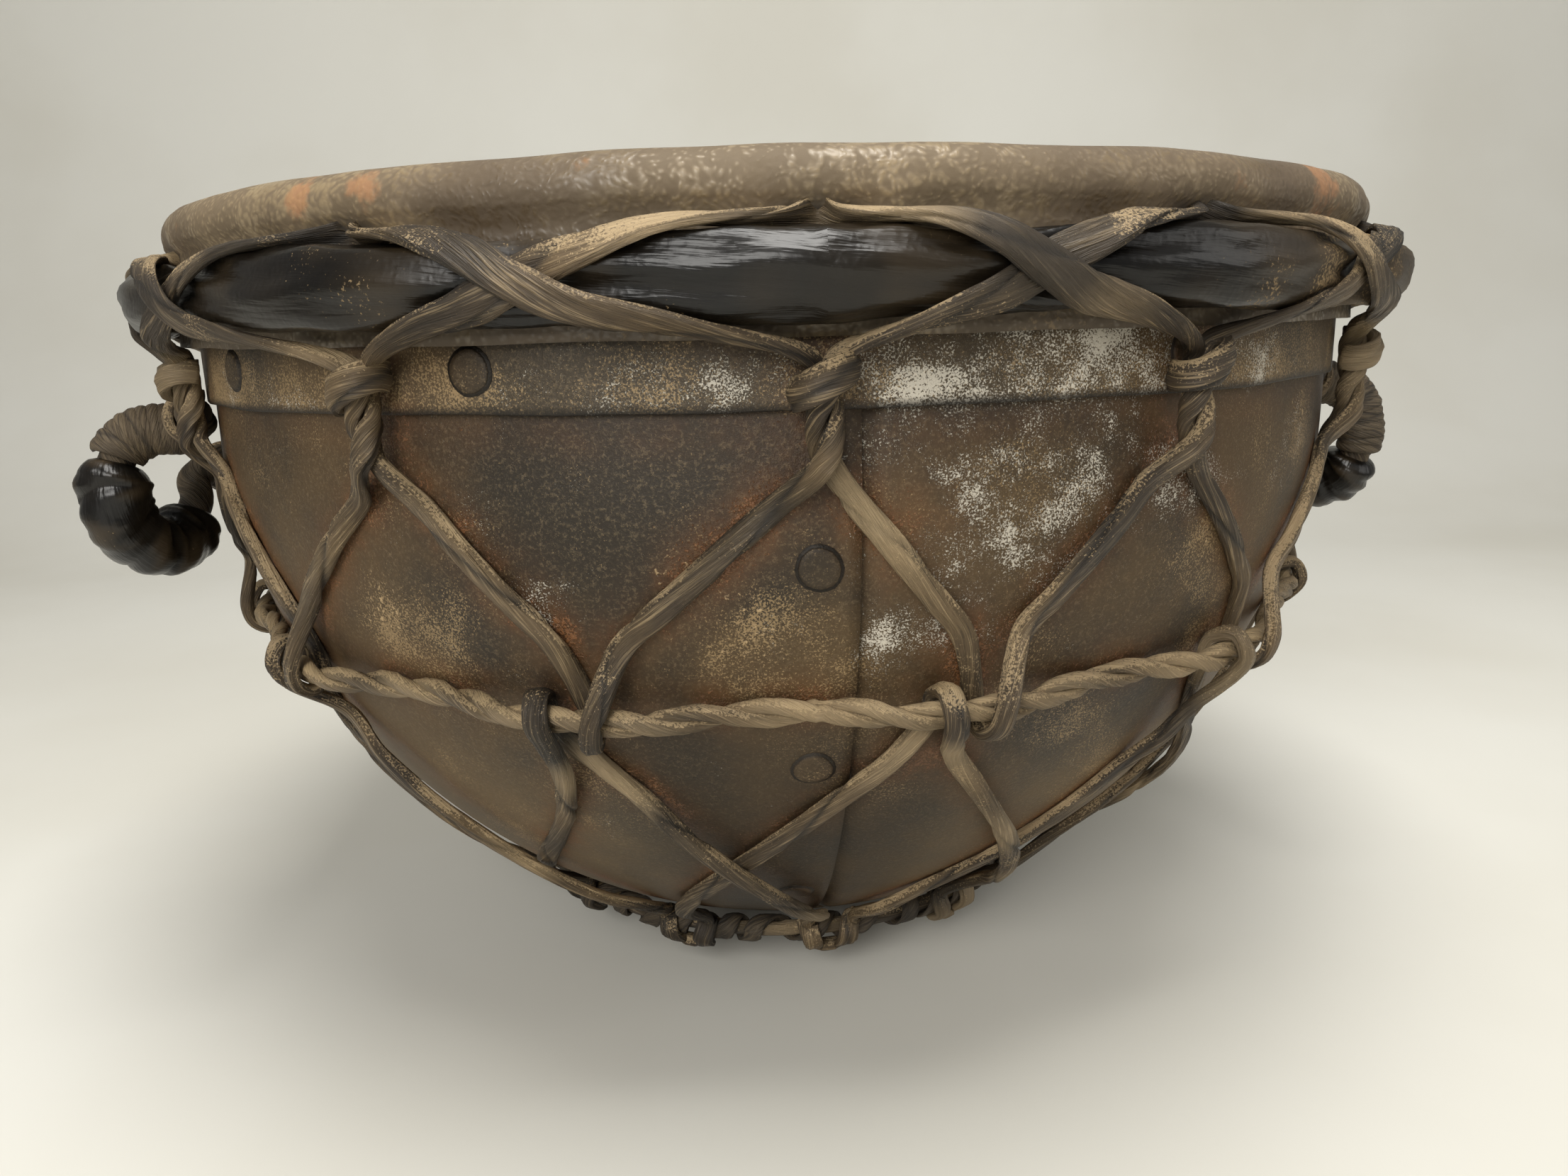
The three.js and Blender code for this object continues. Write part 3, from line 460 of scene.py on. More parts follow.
def smooth_path(stops, step, closed):
    """Places about a step apart on a smooth curve through stops of (place, way it faces, thickness)."""
    places = np.array([s[0] for s in stops])
    faces = np.array([s[1] for s in stops])
    thick = np.array([s[2] for s in stops])
    for i in range(1, len(faces)):
        if faces[i] @ faces[i - 1] < 0:
            faces[i] = -faces[i]
    if closed:
        places = np.concatenate([places[-1:], places, places[:2]])
        turn = np.sign(faces[0] @ faces[-1]) or 1.0
        faces = np.concatenate([faces, faces[:1] * turn])
        thick = np.concatenate([thick, thick[:1]])
    else:
        places = np.concatenate([2 * places[:1] - places[1:2], places, 2 * places[-1:] - places[-2:-1]])
    pace = np.maximum(np.linalg.norm(np.diff(places, axis=0), axis=1) ** 0.5, 1e-6)
    chord = np.diff(places, axis=0) / pace[:, None]
    slope = (chord[:-1] * pace[1:, None] + chord[1:] * pace[:-1, None]) / (pace[:-1] + pace[1:])[:, None]
    out = [[], [], []]
    for i in range(len(places) - 3):
        a, b = places[i + 1], places[i + 2]
        count = max(2, math.ceil(np.linalg.norm(b - a) / step))
        last = 1 if not closed and i == len(places) - 4 else 0
        t = (np.arange(count + last) / count)[:, None]
        h = pace[i + 1]
        curve = (2 * t ** 3 - 3 * t ** 2 + 1) * a + (t ** 3 - 2 * t ** 2 + t) * h * slope[i]
        curve = curve + (3 * t ** 2 - 2 * t ** 3) * b + (t ** 3 - t ** 2) * h * slope[i + 1]
        out[0].append(curve)
        out[1].append(faces[i] * (1 - t) + faces[i + 1] * t)
        out[2].append((thick[i] * (1 - t) + thick[i + 1] * t)[:, 0])
    return np.concatenate(out[0]), np.concatenate(out[1]), np.concatenate(out[2])


def strand_frames(places, faces, closed):
    """The run of a strand at each place, the way it faces and the way across it."""
    if closed:
        run = np.roll(places, -1, axis=0) - np.roll(places, 1, axis=0)
    else:
        run = np.gradient(places, axis=0)
    run = units(run)
    face = units(faces - run * np.sum(faces * run, axis=1)[:, None])
    return run, face, np.cross(run, face)


def lengths(places):
    gaps = np.linalg.norm(np.diff(places, axis=0), axis=1)
    return np.concatenate([[0.0], np.cumsum(gaps)])


def ripple(values, seed, octaves=4):
    """A smooth wandering value of about -1 to 1 along a length."""
    rng = np.random.default_rng(seed)
    total = np.zeros_like(values)
    for octave in range(octaves):
        pitch = 2.0 ** octave * rng.uniform(0.85, 1.2)
        total = total + np.sin(values * pitch + rng.uniform(0, 6.28)) / (octave + 1.0)
    return total / 1.6


def thong_rings(path, width, closed, seed, sides=20, pitch=55.0):
    """Sections of a strip of hide rolled on itself: flat, ridged along its fibres, with one open fold."""
    places, faces, thick = path
    run, face, across = strand_frames(places, faces, closed)
    along = lengths(places)
    angle = round_turn(sides)
    swell = 1 + 0.09 * ripple(along / 16.0, seed)
    round_x = np.sign(np.cos(angle)) * np.abs(np.cos(angle)) ** 0.9
    round_y = np.sign(np.sin(angle)) * np.abs(np.sin(angle)) ** 0.8
    fold = 2 * math.pi * along / pitch + 1.5 * ripple(along / 60.0, seed + 1)
    off = (angle[None, :] - fold[:, None] + math.pi) % (2 * math.pi) - math.pi
    dent = 1 - 0.28 * np.exp(-(off / 0.3) ** 2)
    ridge = 0.07 * np.sin(5 * angle[None, :] + 2.0 * ripple(along / 22.0, seed + 2)[:, None])
    ridge = ridge + 0.05 * np.sin(9 * angle[None, :] - 2.0 * ripple(along / 13.0, seed + 3)[:, None])
    shape = dent + ridge
    wide = width / 2 * swell * (np.median(thick) / thick) ** 0.9
    x = shape * wide[:, None] * round_x[None, :]
    y = shape * (thick / 2 * (2 - swell))[:, None] * round_y[None, :]
    rings = places[:, None, :] + across[:, None, :] * x[..., None] + face[:, None, :] * y[..., None]
    return rings, np.exp(-(off / 0.35) ** 2).ravel()


def loft(rings, closed):
    """Points, faces and strand coordinates of a skin over closed rings, capped unless it closes on itself."""
    rings = np.asarray(rings)
    count, sides = rings.shape[:2]
    bands = count if closed else count - 1
    i = np.repeat(np.arange(bands), sides)
    k = np.tile(np.arange(sides), bands)
    here, beside = i * sides + k, i * sides + (k + 1) % sides
    j = (i + 1) % count
    faces = np.stack([here, beside, j * sides + (k + 1) % sides, j * sides + k], axis=1).tolist()
    middle = rings.mean(axis=1)
    along = lengths(np.concatenate([middle, middle[:1]]) if closed else middle) * MM
    low, high = k / sides, (k + 1) / sides
    first, last = along[i], along[i + 1]
    uv = np.stack([first, low, first, high, last, high, last, low], axis=1).reshape(-1, 2)
    if not closed:
        faces.append(list(range(sides)))
        faces.append([(count - 1) * sides + q for q in range(sides)])
        caps = np.repeat([[along[0], 0.0], [along[-1], 0.0]], sides, axis=0)
        uv = np.concatenate([uv, caps])
    return rings.reshape(-1, 3), faces, uv


def add_mesh(name, parts, marks=None, weld=False):
    """A smooth mesh object from lofted parts in millimetres, with a mark of each kind on every point."""
    points, faces, coords, start = [], [], [], 0
    for part_points, part_faces, part_uv in parts:
        points.append(part_points)
        faces.extend([[v + start for v in face] for face in part_faces])
        coords.append(part_uv)
        start += len(part_points)
    mesh = bpy.data.meshes.new(name)
    mesh.from_pydata((np.concatenate(points) * MM).tolist(), [], faces)
    mesh.uv_layers.new(name="strand").data.foreach_set("uv", np.concatenate(coords).ravel())
    for key, values in (marks or {}).items():
        mesh.attributes.new(key, "FLOAT", "POINT").data.foreach_set("value", np.asarray(values, float))
    mesh.polygons.foreach_set("use_smooth", [True] * len(faces))
    model = bmesh.new()
    model.from_mesh(mesh)
    if weld:
        bmesh.ops.remove_doubles(model, verts=model.verts, dist=1e-6)
    bmesh.ops.recalc_face_normals(model, faces=model.faces)
    model.to_mesh(mesh)
    model.free()
    piece = bpy.data.objects.new(name, mesh)
    bpy.context.scene.collection.objects.link(piece)
    return piece


def dress(piece, material, body, nodes):
    """Gives a piece its finish and its body, and says which solids it stands for."""
    piece.data.materials.append(material)
    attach(piece, body)
    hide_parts(*nodes)


def lumps(points, scale, seed):
    """Smooth noise of about -1 to 1 at points in millimetres."""
    shift = Vector((seed * 7.3, seed * 3.1, seed * 5.7))
    return np.array([noise.noise(Vector(p) / scale + shift) for p in points])


def resample(profile, count):
    """Points spread evenly along a line of (radius, z)."""
    profile = np.asarray(profile, float)
    run = lengths(profile)
    at = np.linspace(0, run[-1], count)
    return np.stack([np.interp(at, run, profile[:, 0]), np.interp(at, run, profile[:, 1])], axis=1)


# Finishes. Shared effects are node groups, built once.

def feed(tree, socket, value):
    """Links a socket to another node's output, or sets its value."""
    if isinstance(value, bpy.types.NodeSocket):
        tree.links.new(value, socket)
    else:
        socket.default_value = value


def put(tree, kind, inputs=None, **settings):
    """Adds a node with its settings, and feeds its sockets."""
    node = tree.nodes.new(kind)
    for key, value in settings.items():
        setattr(node, key, value)
    for key, value in (inputs or {}).items():
        feed(tree, node.inputs[key], value)
    return node


def blend(tree, share, first, second):
    """One colour passing into another."""
    node = put(tree, "ShaderNodeMix", {0: share}, data_type="RGBA", clamp_factor=True)
    for key, value in ((6, first), (7, second)):
        colour = value if isinstance(value, bpy.types.NodeSocket) else (*value, 1.0)
        feed(tree, node.inputs[key], colour)
    return node.outputs[2]


def layer(tree, under, share, strength, over):
    """A colour with another laid over it, by a share of 0 to 1 times a strength."""
    return blend(tree, math_node(tree, "MULTIPLY", share, strength), under, over)


def math_node(tree, operation, first, second=0.0):
    return put(tree, "ShaderNodeMath", {0: first, 1: second}, operation=operation).outputs[0]


def scaled(tree, value, factor, base):
    """A value times a factor, plus a base."""
    return math_node(tree, "ADD", math_node(tree, "MULTIPLY", value, factor), base)


def weighted(tree, first, first_share, second, second_share):
    """Two values, each times its share, added."""
    return scaled(tree, first, first_share, math_node(tree, "MULTIPLY", second, second_share))


def between(tree, value, low, high, to_low=0.0, to_high=1.0):
    """A value spread smoothly from one range to another."""
    inputs = {"Value": value, "From Min": low, "From Max": high, "To Min": to_low, "To Max": to_high}
    return put(tree, "ShaderNodeMapRange", inputs, interpolation_type="SMOOTHSTEP").outputs["Result"]


def mark(tree, name):
    """A mark that was left on the points of the mesh."""
    return put(tree, "ShaderNodeAttribute", attribute_name=name, attribute_type="GEOMETRY").outputs["Fac"]


def clouds(tree, vector, scale, detail, roughness=0.5, output="Fac"):
    """Noise of about 0 to 1 at a scale, with finer noise in it."""
    inputs = {"Vector": vector, "Scale": scale, "Detail": detail, "Roughness": roughness}
    return put(tree, "ShaderNodeTexNoise", inputs).outputs[output]


def bump(tree, height, depth, strength):
    inputs = {"Height": height, "Distance": depth, "Strength": strength}
    return put(tree, "ShaderNodeBump", inputs).outputs["Normal"]


def start_group(name, inputs, outputs):
    """A new node group with its inputs, where one without a default is a vector, and its outputs."""
    group = bpy.data.node_groups.new(name, "ShaderNodeTree")
    for label, default in inputs.items():
        kind = "NodeSocketVector" if default is None else "NodeSocketFloat"
        socket = group.interface.new_socket(label, in_out="INPUT", socket_type=kind)
        if default is not None:
            socket.default_value = default
    for label in outputs:
        group.interface.new_socket(label, in_out="OUTPUT", socket_type="NodeSocketFloat")
    return group, group.nodes.new("NodeGroupInput").outputs, group.nodes.new("NodeGroupOutput").inputs


def speckle_group(name):
    """Grains of dust that gather in patches."""
    inputs = {"Vector": None, "Grain Scale": 900.0, "Patch Scale": 22.0, "Cover": 0.4}
    group, start, end = start_group(name, inputs, ["Mask"])
    grain = clouds(group, start["Vector"], start["Grain Scale"], 2.0, 0.65)
    patch = clouds(group, start["Vector"], start["Patch Scale"], 4.0, 0.6)
    spread = math_node(group, "MULTIPLY", math_node(group, "SUBTRACT", patch, 0.5), 0.9)
    total = math_node(group, "ADD", math_node(group, "ADD", grain, spread), start["Cover"])
    group.links.new(between(group, total, 0.92, 1.06), end["Mask"])
    return group


def fibre_group(name):
    """Fibres that run along a strand, with their height and light and dark streaks."""
    inputs = {"Along Scale": 60.0, "Around Scale": 9.0, "Twist": 8.0}
    group, start, end = start_group(name, inputs, ["Height", "Streaks"])
    coords = put(group, "ShaderNodeUVMap", uv_map="strand").outputs["UV"]
    split = put(group, "ShaderNodeSeparateXYZ", {"Vector": coords}).outputs
    turned = math_node(group, "ADD", split["Y"], math_node(group, "MULTIPLY", split["X"], start["Twist"]))
    angle = math_node(group, "MULTIPLY", turned, 2 * math.pi)
    ring = put(group, "ShaderNodeCombineXYZ", {
        "X": math_node(group, "MULTIPLY", math_node(group, "COSINE", angle), start["Around Scale"]),
        "Y": math_node(group, "MULTIPLY", math_node(group, "SINE", angle), start["Around Scale"]),
        "Z": math_node(group, "MULTIPLY", split["X"], start["Along Scale"]),
    }).outputs["Vector"]
    coarse = clouds(group, ring, 0.45, 3.0, 0.55)
    fine = clouds(group, ring, 1.6, 2.0, 0.6)
    height = weighted(group, coarse, 0.7, fine, 0.45)
    group.links.new(height, end["Height"])
    group.links.new(between(group, height, 0.38, 0.75), end["Streaks"])
    return group


def pebble_group(name):
    """The pebbled and creased grain of hide."""
    inputs = {"Vector": None, "Pebble Scale": 420.0, "Crease Scale": 60.0}
    group, start, end = start_group(name, inputs, ["Height", "Hollows", "Patches"])
    bend = clouds(group, start["Vector"], 150.0, 2.0, output="Color")
    reach = (0.004, 0.004, 0.004)
    bent = put(group, "ShaderNodeVectorMath", {0: bend, 1: reach}, operation="MULTIPLY").outputs[0]
    moved = put(group, "ShaderNodeVectorMath", {0: start["Vector"], 1: bent}, operation="ADD").outputs[0]
    inputs = {"Vector": moved, "Scale": start["Pebble Scale"], "Randomness": 1.0}
    cells = put(group, "ShaderNodeTexVoronoi", inputs, feature="SMOOTH_F1").outputs["Distance"]
    crease = clouds(group, moved, start["Crease Scale"], 5.0, 0.62)
    height = weighted(group, math_node(group, "SUBTRACT", 1.0, cells), 0.45, crease, 0.8)
    group.links.new(height, end["Height"])
    group.links.new(between(group, height, 0.82, 0.58), end["Hollows"])
    group.links.new(clouds(group, start["Vector"], 16.0, 5.0, 0.6), end["Patches"])
    return group


GROUPS = {"speckles": speckle_group, "strand_fibres": fibre_group, "hide_grain": pebble_group}


def group_outputs(tree, name, **inputs):
    """The outputs of a shared group placed in a material. The group is built the first time."""
    group = bpy.data.node_groups.get(name) or GROUPS[name](name)
    node = put(tree, "ShaderNodeGroup", node_tree=group)
    for key, value in inputs.items():
        feed(tree, node.inputs[key.replace("_", " ").title()], value)
    return node.outputs


def speckles(tree, coords, grain, patch, cover):
    """A mask of dust grains that gather in patches."""
    inputs = {"vector": coords, "grain_scale": grain, "patch_scale": patch, "cover": cover}
    return group_outputs(tree, "speckles", **inputs)["Mask"]


def finish(name):
    """Turns a function that gives a shader's inputs into one that gives the material, built once."""
    def wrap(look):
        def give():
            material = bpy.data.materials.get(name)
            if material is None:
                material = bpy.data.materials.new(name)
                material.use_nodes = True
                tree = material.node_tree
                coords = put(tree, "ShaderNodeTexCoord").outputs["Object"]
                for label, value in look(tree, coords, bpy.context.scene.kettle_colours).items():
                    feed(tree, tree.nodes["Principled BSDF"].inputs[label], value)
            return material
        return give
    return wrap


@finish("worn_sheet_iron")
def iron_finish(tree, coords, colours):
    """Brown sheet iron with sandy and silver dust, and rust where hide lies against it."""
    broad = clouds(tree, coords, 14.0, 6.0, 0.62)
    fine = clouds(tree, coords, 1200.0, 4.0, 0.8)
    spots = clouds(tree, coords, 60.0, 5.0, 0.7)
    colour = blend(tree, between(tree, broad, 0.4, 0.64), colours.iron_dark, colours.iron)
    colour = layer(tree, colour, between(tree, spots, 0.45, 0.75), 0.25, colours.iron_dark)
    colour = layer(tree, colour, between(tree, fine, 0.48, 0.7), 0.4, colours.iron_pale)
    # Painted light from the floor on the low iron's sides, and pale dust low on the collar.
    pale = math_node(tree, "MULTIPLY", mark(tree, "pale"), between(tree, broad, 0.2, 0.6, 0.55, 1.0))
    colour = layer(tree, colour, pale, 0.5, colours.iron_pale)
    beside = math_node(tree, "MULTIPLY", mark(tree, "rust"), between(tree, spots, 0.35, 0.65, 0.08, 0.42))
    colour = blend(tree, beside, colour, colours.rust)
    # Each dust's mark, scales of grain and patch, cover in the mark and out of it, strength and colour.
    kinds = (
        ("rust", 1600.0, 60.0, 0.3, 0.1, 0.6, colours.rust),
        ("sand", 2200.0, 34.0, 0.2, 0.25, 0.55, colours.sand),
        ("flakes", 760.0, 26.0, 0.27, 0.08, 0.75, colours.sand),
        ("silver", 2500.0, 90.0, 0.33, 0.14, 0.7, colours.silver_dust),
    )
    masks = {}
    for kind, grain, patch, inside, outside, strength, dust in kinds:
        masks[kind] = speckles(tree, coords, grain, patch, scaled(tree, mark(tree, kind), inside, outside))
        colour = layer(tree, colour, masks[kind], strength, dust)
    colour = layer(tree, colour, mark(tree, "shade"), 0.45, colours.iron_dark)
    # Painted shade under the collar and roll and round the rivets, with some grime.
    colour = layer(tree, colour, mark(tree, "shade_and_grime"), 0.85, colours.shade_and_grime)
    dusty = math_node(tree, "MAXIMUM", masks["flakes"], masks["silver"])
    dusty = math_node(tree, "MAXIMUM", dusty, masks["rust"])
    return {
        "Base Color": colour,
        "Metallic": between(tree, dusty, 0.0, 0.6, 0.35, 0.0),
        "Roughness": between(tree, broad, 0.3, 0.7, 0.44, 0.62),
        "Normal": bump(tree, weighted(tree, fine, 0.6, dusty, 0.5), 0.0004, 0.8),
    }


@finish("pebbled_hide")
def hide_finish(tree, coords, colours):
    """Dark pebbled hide, grey where it is polished and tan where it is worn through."""
    grain = group_outputs(tree, "hide_grain", vector=coords, pebble_scale=820.0, crease_scale=75.0)
    colour = blend(tree, between(tree, grain["Patches"], 0.35, 0.66), colours.hide_dark, colours.hide)
    # Painted shade in the grain's hollows.
    colour = layer(tree, colour, grain["Hollows"], 0.7, colours.hide_dark)
    worn_edge = scaled(tree, mark(tree, "worn"), 0.6, clouds(tree, coords, 130.0, 4.0, 0.6))
    colour = layer(tree, colour, between(tree, worn_edge, 0.86, 1.06), 0.6, colours.hide_worn)
    dust = speckles(tree, coords, 700.0, 30.0, scaled(tree, mark(tree, "dust"), 0.22, 0.13))
    colour = layer(tree, colour, dust, 0.3, colours.sand)
    return {
        # Painted shade in the lacing slits and on the skirt behind the roll.
        "Base Color": layer(tree, colour, mark(tree, "shade_and_grime"), 0.8, colours.shade_and_grime),
        "Specular IOR Level": 0.6,
        "Roughness": between(tree, grain["Hollows"], 0.0, 1.0, 0.42, 0.75),
        "Normal": bump(tree, grain["Height"], 0.0006, 0.7),
    }


@finish("polished_black_hide")
def black_hide_finish(tree, coords, colours):
    """Black hide, rubbed to a satin, with dust and a painted highlight on its ridges, and painted shade with
    grime in its folds.
    """
    fibres = group_outputs(tree, "strand_fibres", along_scale=55.0, around_scale=5.0, twist=2.0)
    grain = group_outputs(tree, "hide_grain", vector=coords, pebble_scale=700.0, crease_scale=90.0)
    dusted = mark(tree, "dust")
    worn = between(tree, grain["Patches"], 0.35, 0.7)
    colour = blend(tree, worn, colours.black_hide, colours.black_hide_worn)
    # Dust, and on the sleeves' ridges a painted highlight.
    colour = layer(tree, colour, dusted, 0.65, colours.thong)
    # Painted shade in the roll's pleats and the sleeves' creases.
    colour = layer(tree, colour, mark(tree, "shade_and_grime"), 0.7, colours.shade_and_grime)
    dust = speckles(tree, coords, 1300.0, 40.0, scaled(tree, dusted, 0.3, 0.16))
    dull = math_node(tree, "MAXIMUM", dusted, dust)
    height = weighted(tree, fibres["Height"], 0.8, grain["Height"], 0.35)
    return {
        "Base Color": layer(tree, colour, dust, 0.45, colours.sand),
        "Specular IOR Level": 0.34,
        "Roughness": between(tree, dull, 0.0, 0.9, 0.29, 0.72),
        "Normal": bump(tree, height, 0.0006, 0.7),
    }


@finish("thong_hide")
def thong_finish(tree, coords, colours):
    """Dry twisted hide strip, fibrous, with pale worn ridges, painted shade in its grooves and folds and near
    the base, and dust with painted light on what faces up.
    """
    fibres = group_outputs(tree, "strand_fibres", along_scale=90.0, around_scale=8.0, twist=6.0)
    broad = clouds(tree, coords, 22.0, 4.0, 0.6)
    soiled_and_shaded = mark(tree, "black")
    colour = blend(tree, between(tree, broad, 0.35, 0.68), colours.thong_dark, colours.thong)
    # Painted shade in the grooves between the fibres.
    colour = layer(tree, colour, between(tree, fibres["Height"], 0.5, 0.38), 0.5, colours.shade_and_grime)
    colour = layer(tree, colour, between(tree, fibres["Height"], 0.58, 0.74), 0.4, colours.thong_pale)
    # Painted shade in the strip's open fold, and over the base ring's core.
    colour = layer(tree, colour, mark(tree, "fold"), 0.8, colours.shade_and_grime)
    # Blackened lengths of strip, with painted shade on the laces near the base.
    colour = layer(tree, colour, soiled_and_shaded, 0.8, colours.black_hide_worn)
    colour = layer(tree, colour, mark(tree, "rubbed"), 0.7, colours.thong_pale)
    # Dust settles on what faces up, and this paints the upper side lighter, as painted light.
    normal = put(tree, "ShaderNodeNewGeometry").outputs["Normal"]
    upward = put(tree, "ShaderNodeSeparateXYZ", {"Vector": normal}).outputs["Z"]
    held = between(tree, soiled_and_shaded, 0.1, 0.7, 0.32, 0.05)
    settled = math_node(tree, "MULTIPLY", between(tree, upward, -0.15, 0.8), held)
    dust = speckles(tree, coords, 1900.0, 60.0, math_node(tree, "ADD", settled, 0.26))
    return {
        "Base Color": layer(tree, colour, dust, 0.6, colours.thong_pale),
        "Specular IOR Level": 0.45,
        "Roughness": between(tree, fibres["Streaks"], 0.0, 1.0, 0.72, 0.5),
        "Normal": bump(tree, fibres["Height"], 0.0012, 0.9),
    }


@finish("wound_cord")
def cord_finish(tree, coords, colours):
    """Coarse wound cord, dark brown with dry fibre ends."""
    fibres = group_outputs(tree, "strand_fibres", along_scale=160.0, around_scale=6.0, twist=40.0)
    broad = clouds(tree, coords, 45.0, 4.0, 0.6)
    colour = blend(tree, between(tree, broad, 0.35, 0.68), colours.cord_dark, colours.cord)
    colour = layer(tree, colour, fibres["Streaks"], 0.2, colours.thong_pale)
    return {
        # Painted shade in the cord's folds, between its laid strands, and over the base ring's binding.
        "Base Color": layer(tree, colour, mark(tree, "fold"), 0.7, colours.shade_and_grime),
        "Roughness": between(tree, fibres["Streaks"], 0.0, 1.0, 0.8, 0.58),
        "Normal": bump(tree, fibres["Height"], 0.0012, 0.9),
    }


@finish("pale_floor")
def floor_finish(tree, coords, colours):
    """A plain pale sheet to stand on."""
    cloud = between(tree, clouds(tree, coords, 3.0, 4.0), 0.35, 0.7)
    return {"Base Color": blend(tree, cloud, colours.floor, colours.floor_shade), "Roughness": 0.9}


def colour_property(name, red, green, blue, description):
    return FloatVectorProperty(name=name, description=description, subtype="COLOR", size=3, min=0.0, max=1.0,
                               default=linear(red, green, blue))


def length_property(name, metres, description):
    return FloatProperty(name=name, description=description, default=metres, unit="LENGTH")


def turns_property(name, turns, least, description):
    return IntProperty(name=name, description=description, default=turns, min=least)


class KettleSizes(PropertyGroup):
    """Sizes that a user may change without leaving the frame."""
    lace_width: length_property("Lace width", 0.005, "Width of the lacing strip")
    lace_thickness: length_property("Lace thickness", 0.0034, "Thickness of the rolled lacing strip")
    rivet_radius: length_property("Rivet radius", 0.0043, "Radius of a hammered rivet head")
    dent_depth: length_property("Dent depth", 0.00045, "Depth of the hammered dents in the plates")
    pucker_depth: length_property("Pucker depth", 0.0008, "Depth of the hide's puckers above the roll")
    binding_turns: turns_property("Binding turns", 9, 6, "Turns of cord on the left carrying loop")
    base_turns: turns_property("Ring turns", 40, 15, "Turns of cord on the base ring")


class KettleColours(PropertyGroup):
    """Colours of the drum's finishes and of the floor."""
    iron_dark: colour_property("Dark iron", 36, 29, 19, "Iron where it is darkest")
    iron: colour_property("Iron", 79, 62, 38, "Iron with its usual brown skin")
    # Also painted on the low iron at the sides, as light thrown up from the floor.
    iron_pale: colour_property("Pale iron", 128, 111, 85, "Iron rubbed pale")
    rust: colour_property("Rust", 124, 80, 43, "Rust beside the lacing")
    sand: colour_property("Sand", 172, 146, 106, "Sandy dust")
    silver_dust: colour_property("Silver dust", 206, 199, 184, "Pale grey dust")
    # Painted shade in folds, grooves, hollows, slits and under the collar and roll, with some grime.
    shade_and_grime: colour_property("Grime", 18, 14, 10, "Grime in folds and joints")
    hide_dark: colour_property("Dark hide", 82, 68, 50, "Head where it is darkest")
    hide: colour_property("Hide", 138, 121, 93, "Head in its usual colour")
    hide_worn: colour_property("Worn hide", 158, 112, 74, "Head worn through to tan")
    black_hide: colour_property("Black hide", 8, 7, 6, "Rolled edge and sleeves")
    black_hide_worn: colour_property("Worn black hide", 30, 25, 18, "Black hide rubbed brown")
    thong_dark: colour_property("Dark thong", 48, 38, 26, "Lacing where it is darkest")
    thong: colour_property("Thong", 94, 77, 53, "Lacing in its usual colour")
    thong_pale: colour_property("Pale thong", 186, 162, 124, "Worn ridges of the lacing")
    cord_dark: colour_property("Dark cord", 36, 28, 19, "Cord where it is darkest")
    cord: colour_property("Cord", 54, 43, 29, "Cord in its usual colour")
    floor: colour_property("Floor", 213, 212, 205, "Floor and backdrop")
    floor_shade: colour_property("Floor shade", 206, 204, 195, "Clouding of the floor")


# Each look or form of a surface comes in between two heights, from none at the first to all at the second.
LOW_IRON_PALE = (108, 70)
LOW_IRON_SHADE = (116, 100)
COLLAR_TOP_SHADE = (186, 193)
HIDE_DRAWN = (218, 206)
HIDE_BULGE = (216, 208)
HIDE_RUCKS = (215, 207)
HIDE_RUCK_COUNT = 61
HIDE_DUST = (214, 206)
HIDE_SKIRT_SHADE = (207, 203)
THONG_SOIL_OVER_ROLL = (190, 199)
THONG_SHADE_AT_BASE = (44, 20)
# Degrees from the middle of the front within which the low iron is dark, and past which it is pale.
FRONT_MIDDLE = 2
FRONT_SHADE = (6, 20)
# Degrees between which the roll's brown comes in and goes again on the right.
ROLL_BROWN_IN = (22, 42)
ROLL_BROWN_OUT = (130, 100)
# Radius at which the hide's flat ends, and the one at which its shoulder is full.
HEAD_SHOULDER = (150, 168)

# Places of dust and wear, as azimuth in degrees, height and reach in millimetres, and strength.
SILVER_PATCHES = (
    (17, 150, 13, 1.0), (23, 157, 11, 0.8), (10.2, 129, 10, 1.0), (-17.4, 134, 7, 0.9), (32, 156, 11, 0.8),
    (49, 162, 8, 0.7), (14, 141, 8, 1.0), (-20, 157, 7, 0.3), (21, 140, 7, 0.6), (-60, 140, 14, 0.5),
    (75, 120, 14, 0.5), (9, 180, 11, 0.8), (17, 182, 12, 1.0), (25, 182, 12, 1.0), (-3, 179, 7, 0.4),
    (-12, 178, 8, 0.3), (40, 184, 10, 0.5),
    (120, 140, 16, 0.7), (165, 125, 15, 0.6), (-110, 145, 15, 0.7), (-150, 110, 15, 0.5),
)
SAND_PATCHES = (
    (-1.6, 131, 7, 1.0), (-3.8, 124, 7, 0.9), (-33, 134, 8, 0.9), (36, 140, 8, 0.8), (52, 165, 9, 0.9),
    (105, 150, 12, 0.9), (150, 160, 12, 0.9), (-80, 160, 12, 0.9), (-135, 135, 12, 0.9), (-165, 160, 12, 0.8),
)
WORN_PATCHES = (
    (-32, 216, 5, 1.0), (-26, 216, 5, 0.9), (-11, 219, 3, 0.7), (45, 216, 9, 0.9), (33, 217, 6, 0.5),
    (-52, 214, 6, 0.6), (80, 216, 8, 0.9), (118, 217, 6, 0.8), (160, 215, 7, 0.9), (-140, 216, 8, 0.8),
    (-95, 216, 6, 0.8),
)


def patches(points, places):
    """How strongly each point lies in one of a list of patches."""
    azimuth = azimuths(points)
    radius = radii(points)
    total = np.zeros(len(points))
    for where, z, reach, strength in places:
        turn = (azimuth - where + 180) % 360 - 180
        away = np.hypot(np.radians(turn) * radius, points[:, 2] - z)
        total = np.maximum(total, strength * np.exp(-(away / reach) ** 2 / 2))
    return total


def size(key):
    """A length that is set in the panel, in millimetres."""
    return getattr(bpy.context.scene.kettle_sizes, key) / MM


LACING = {}


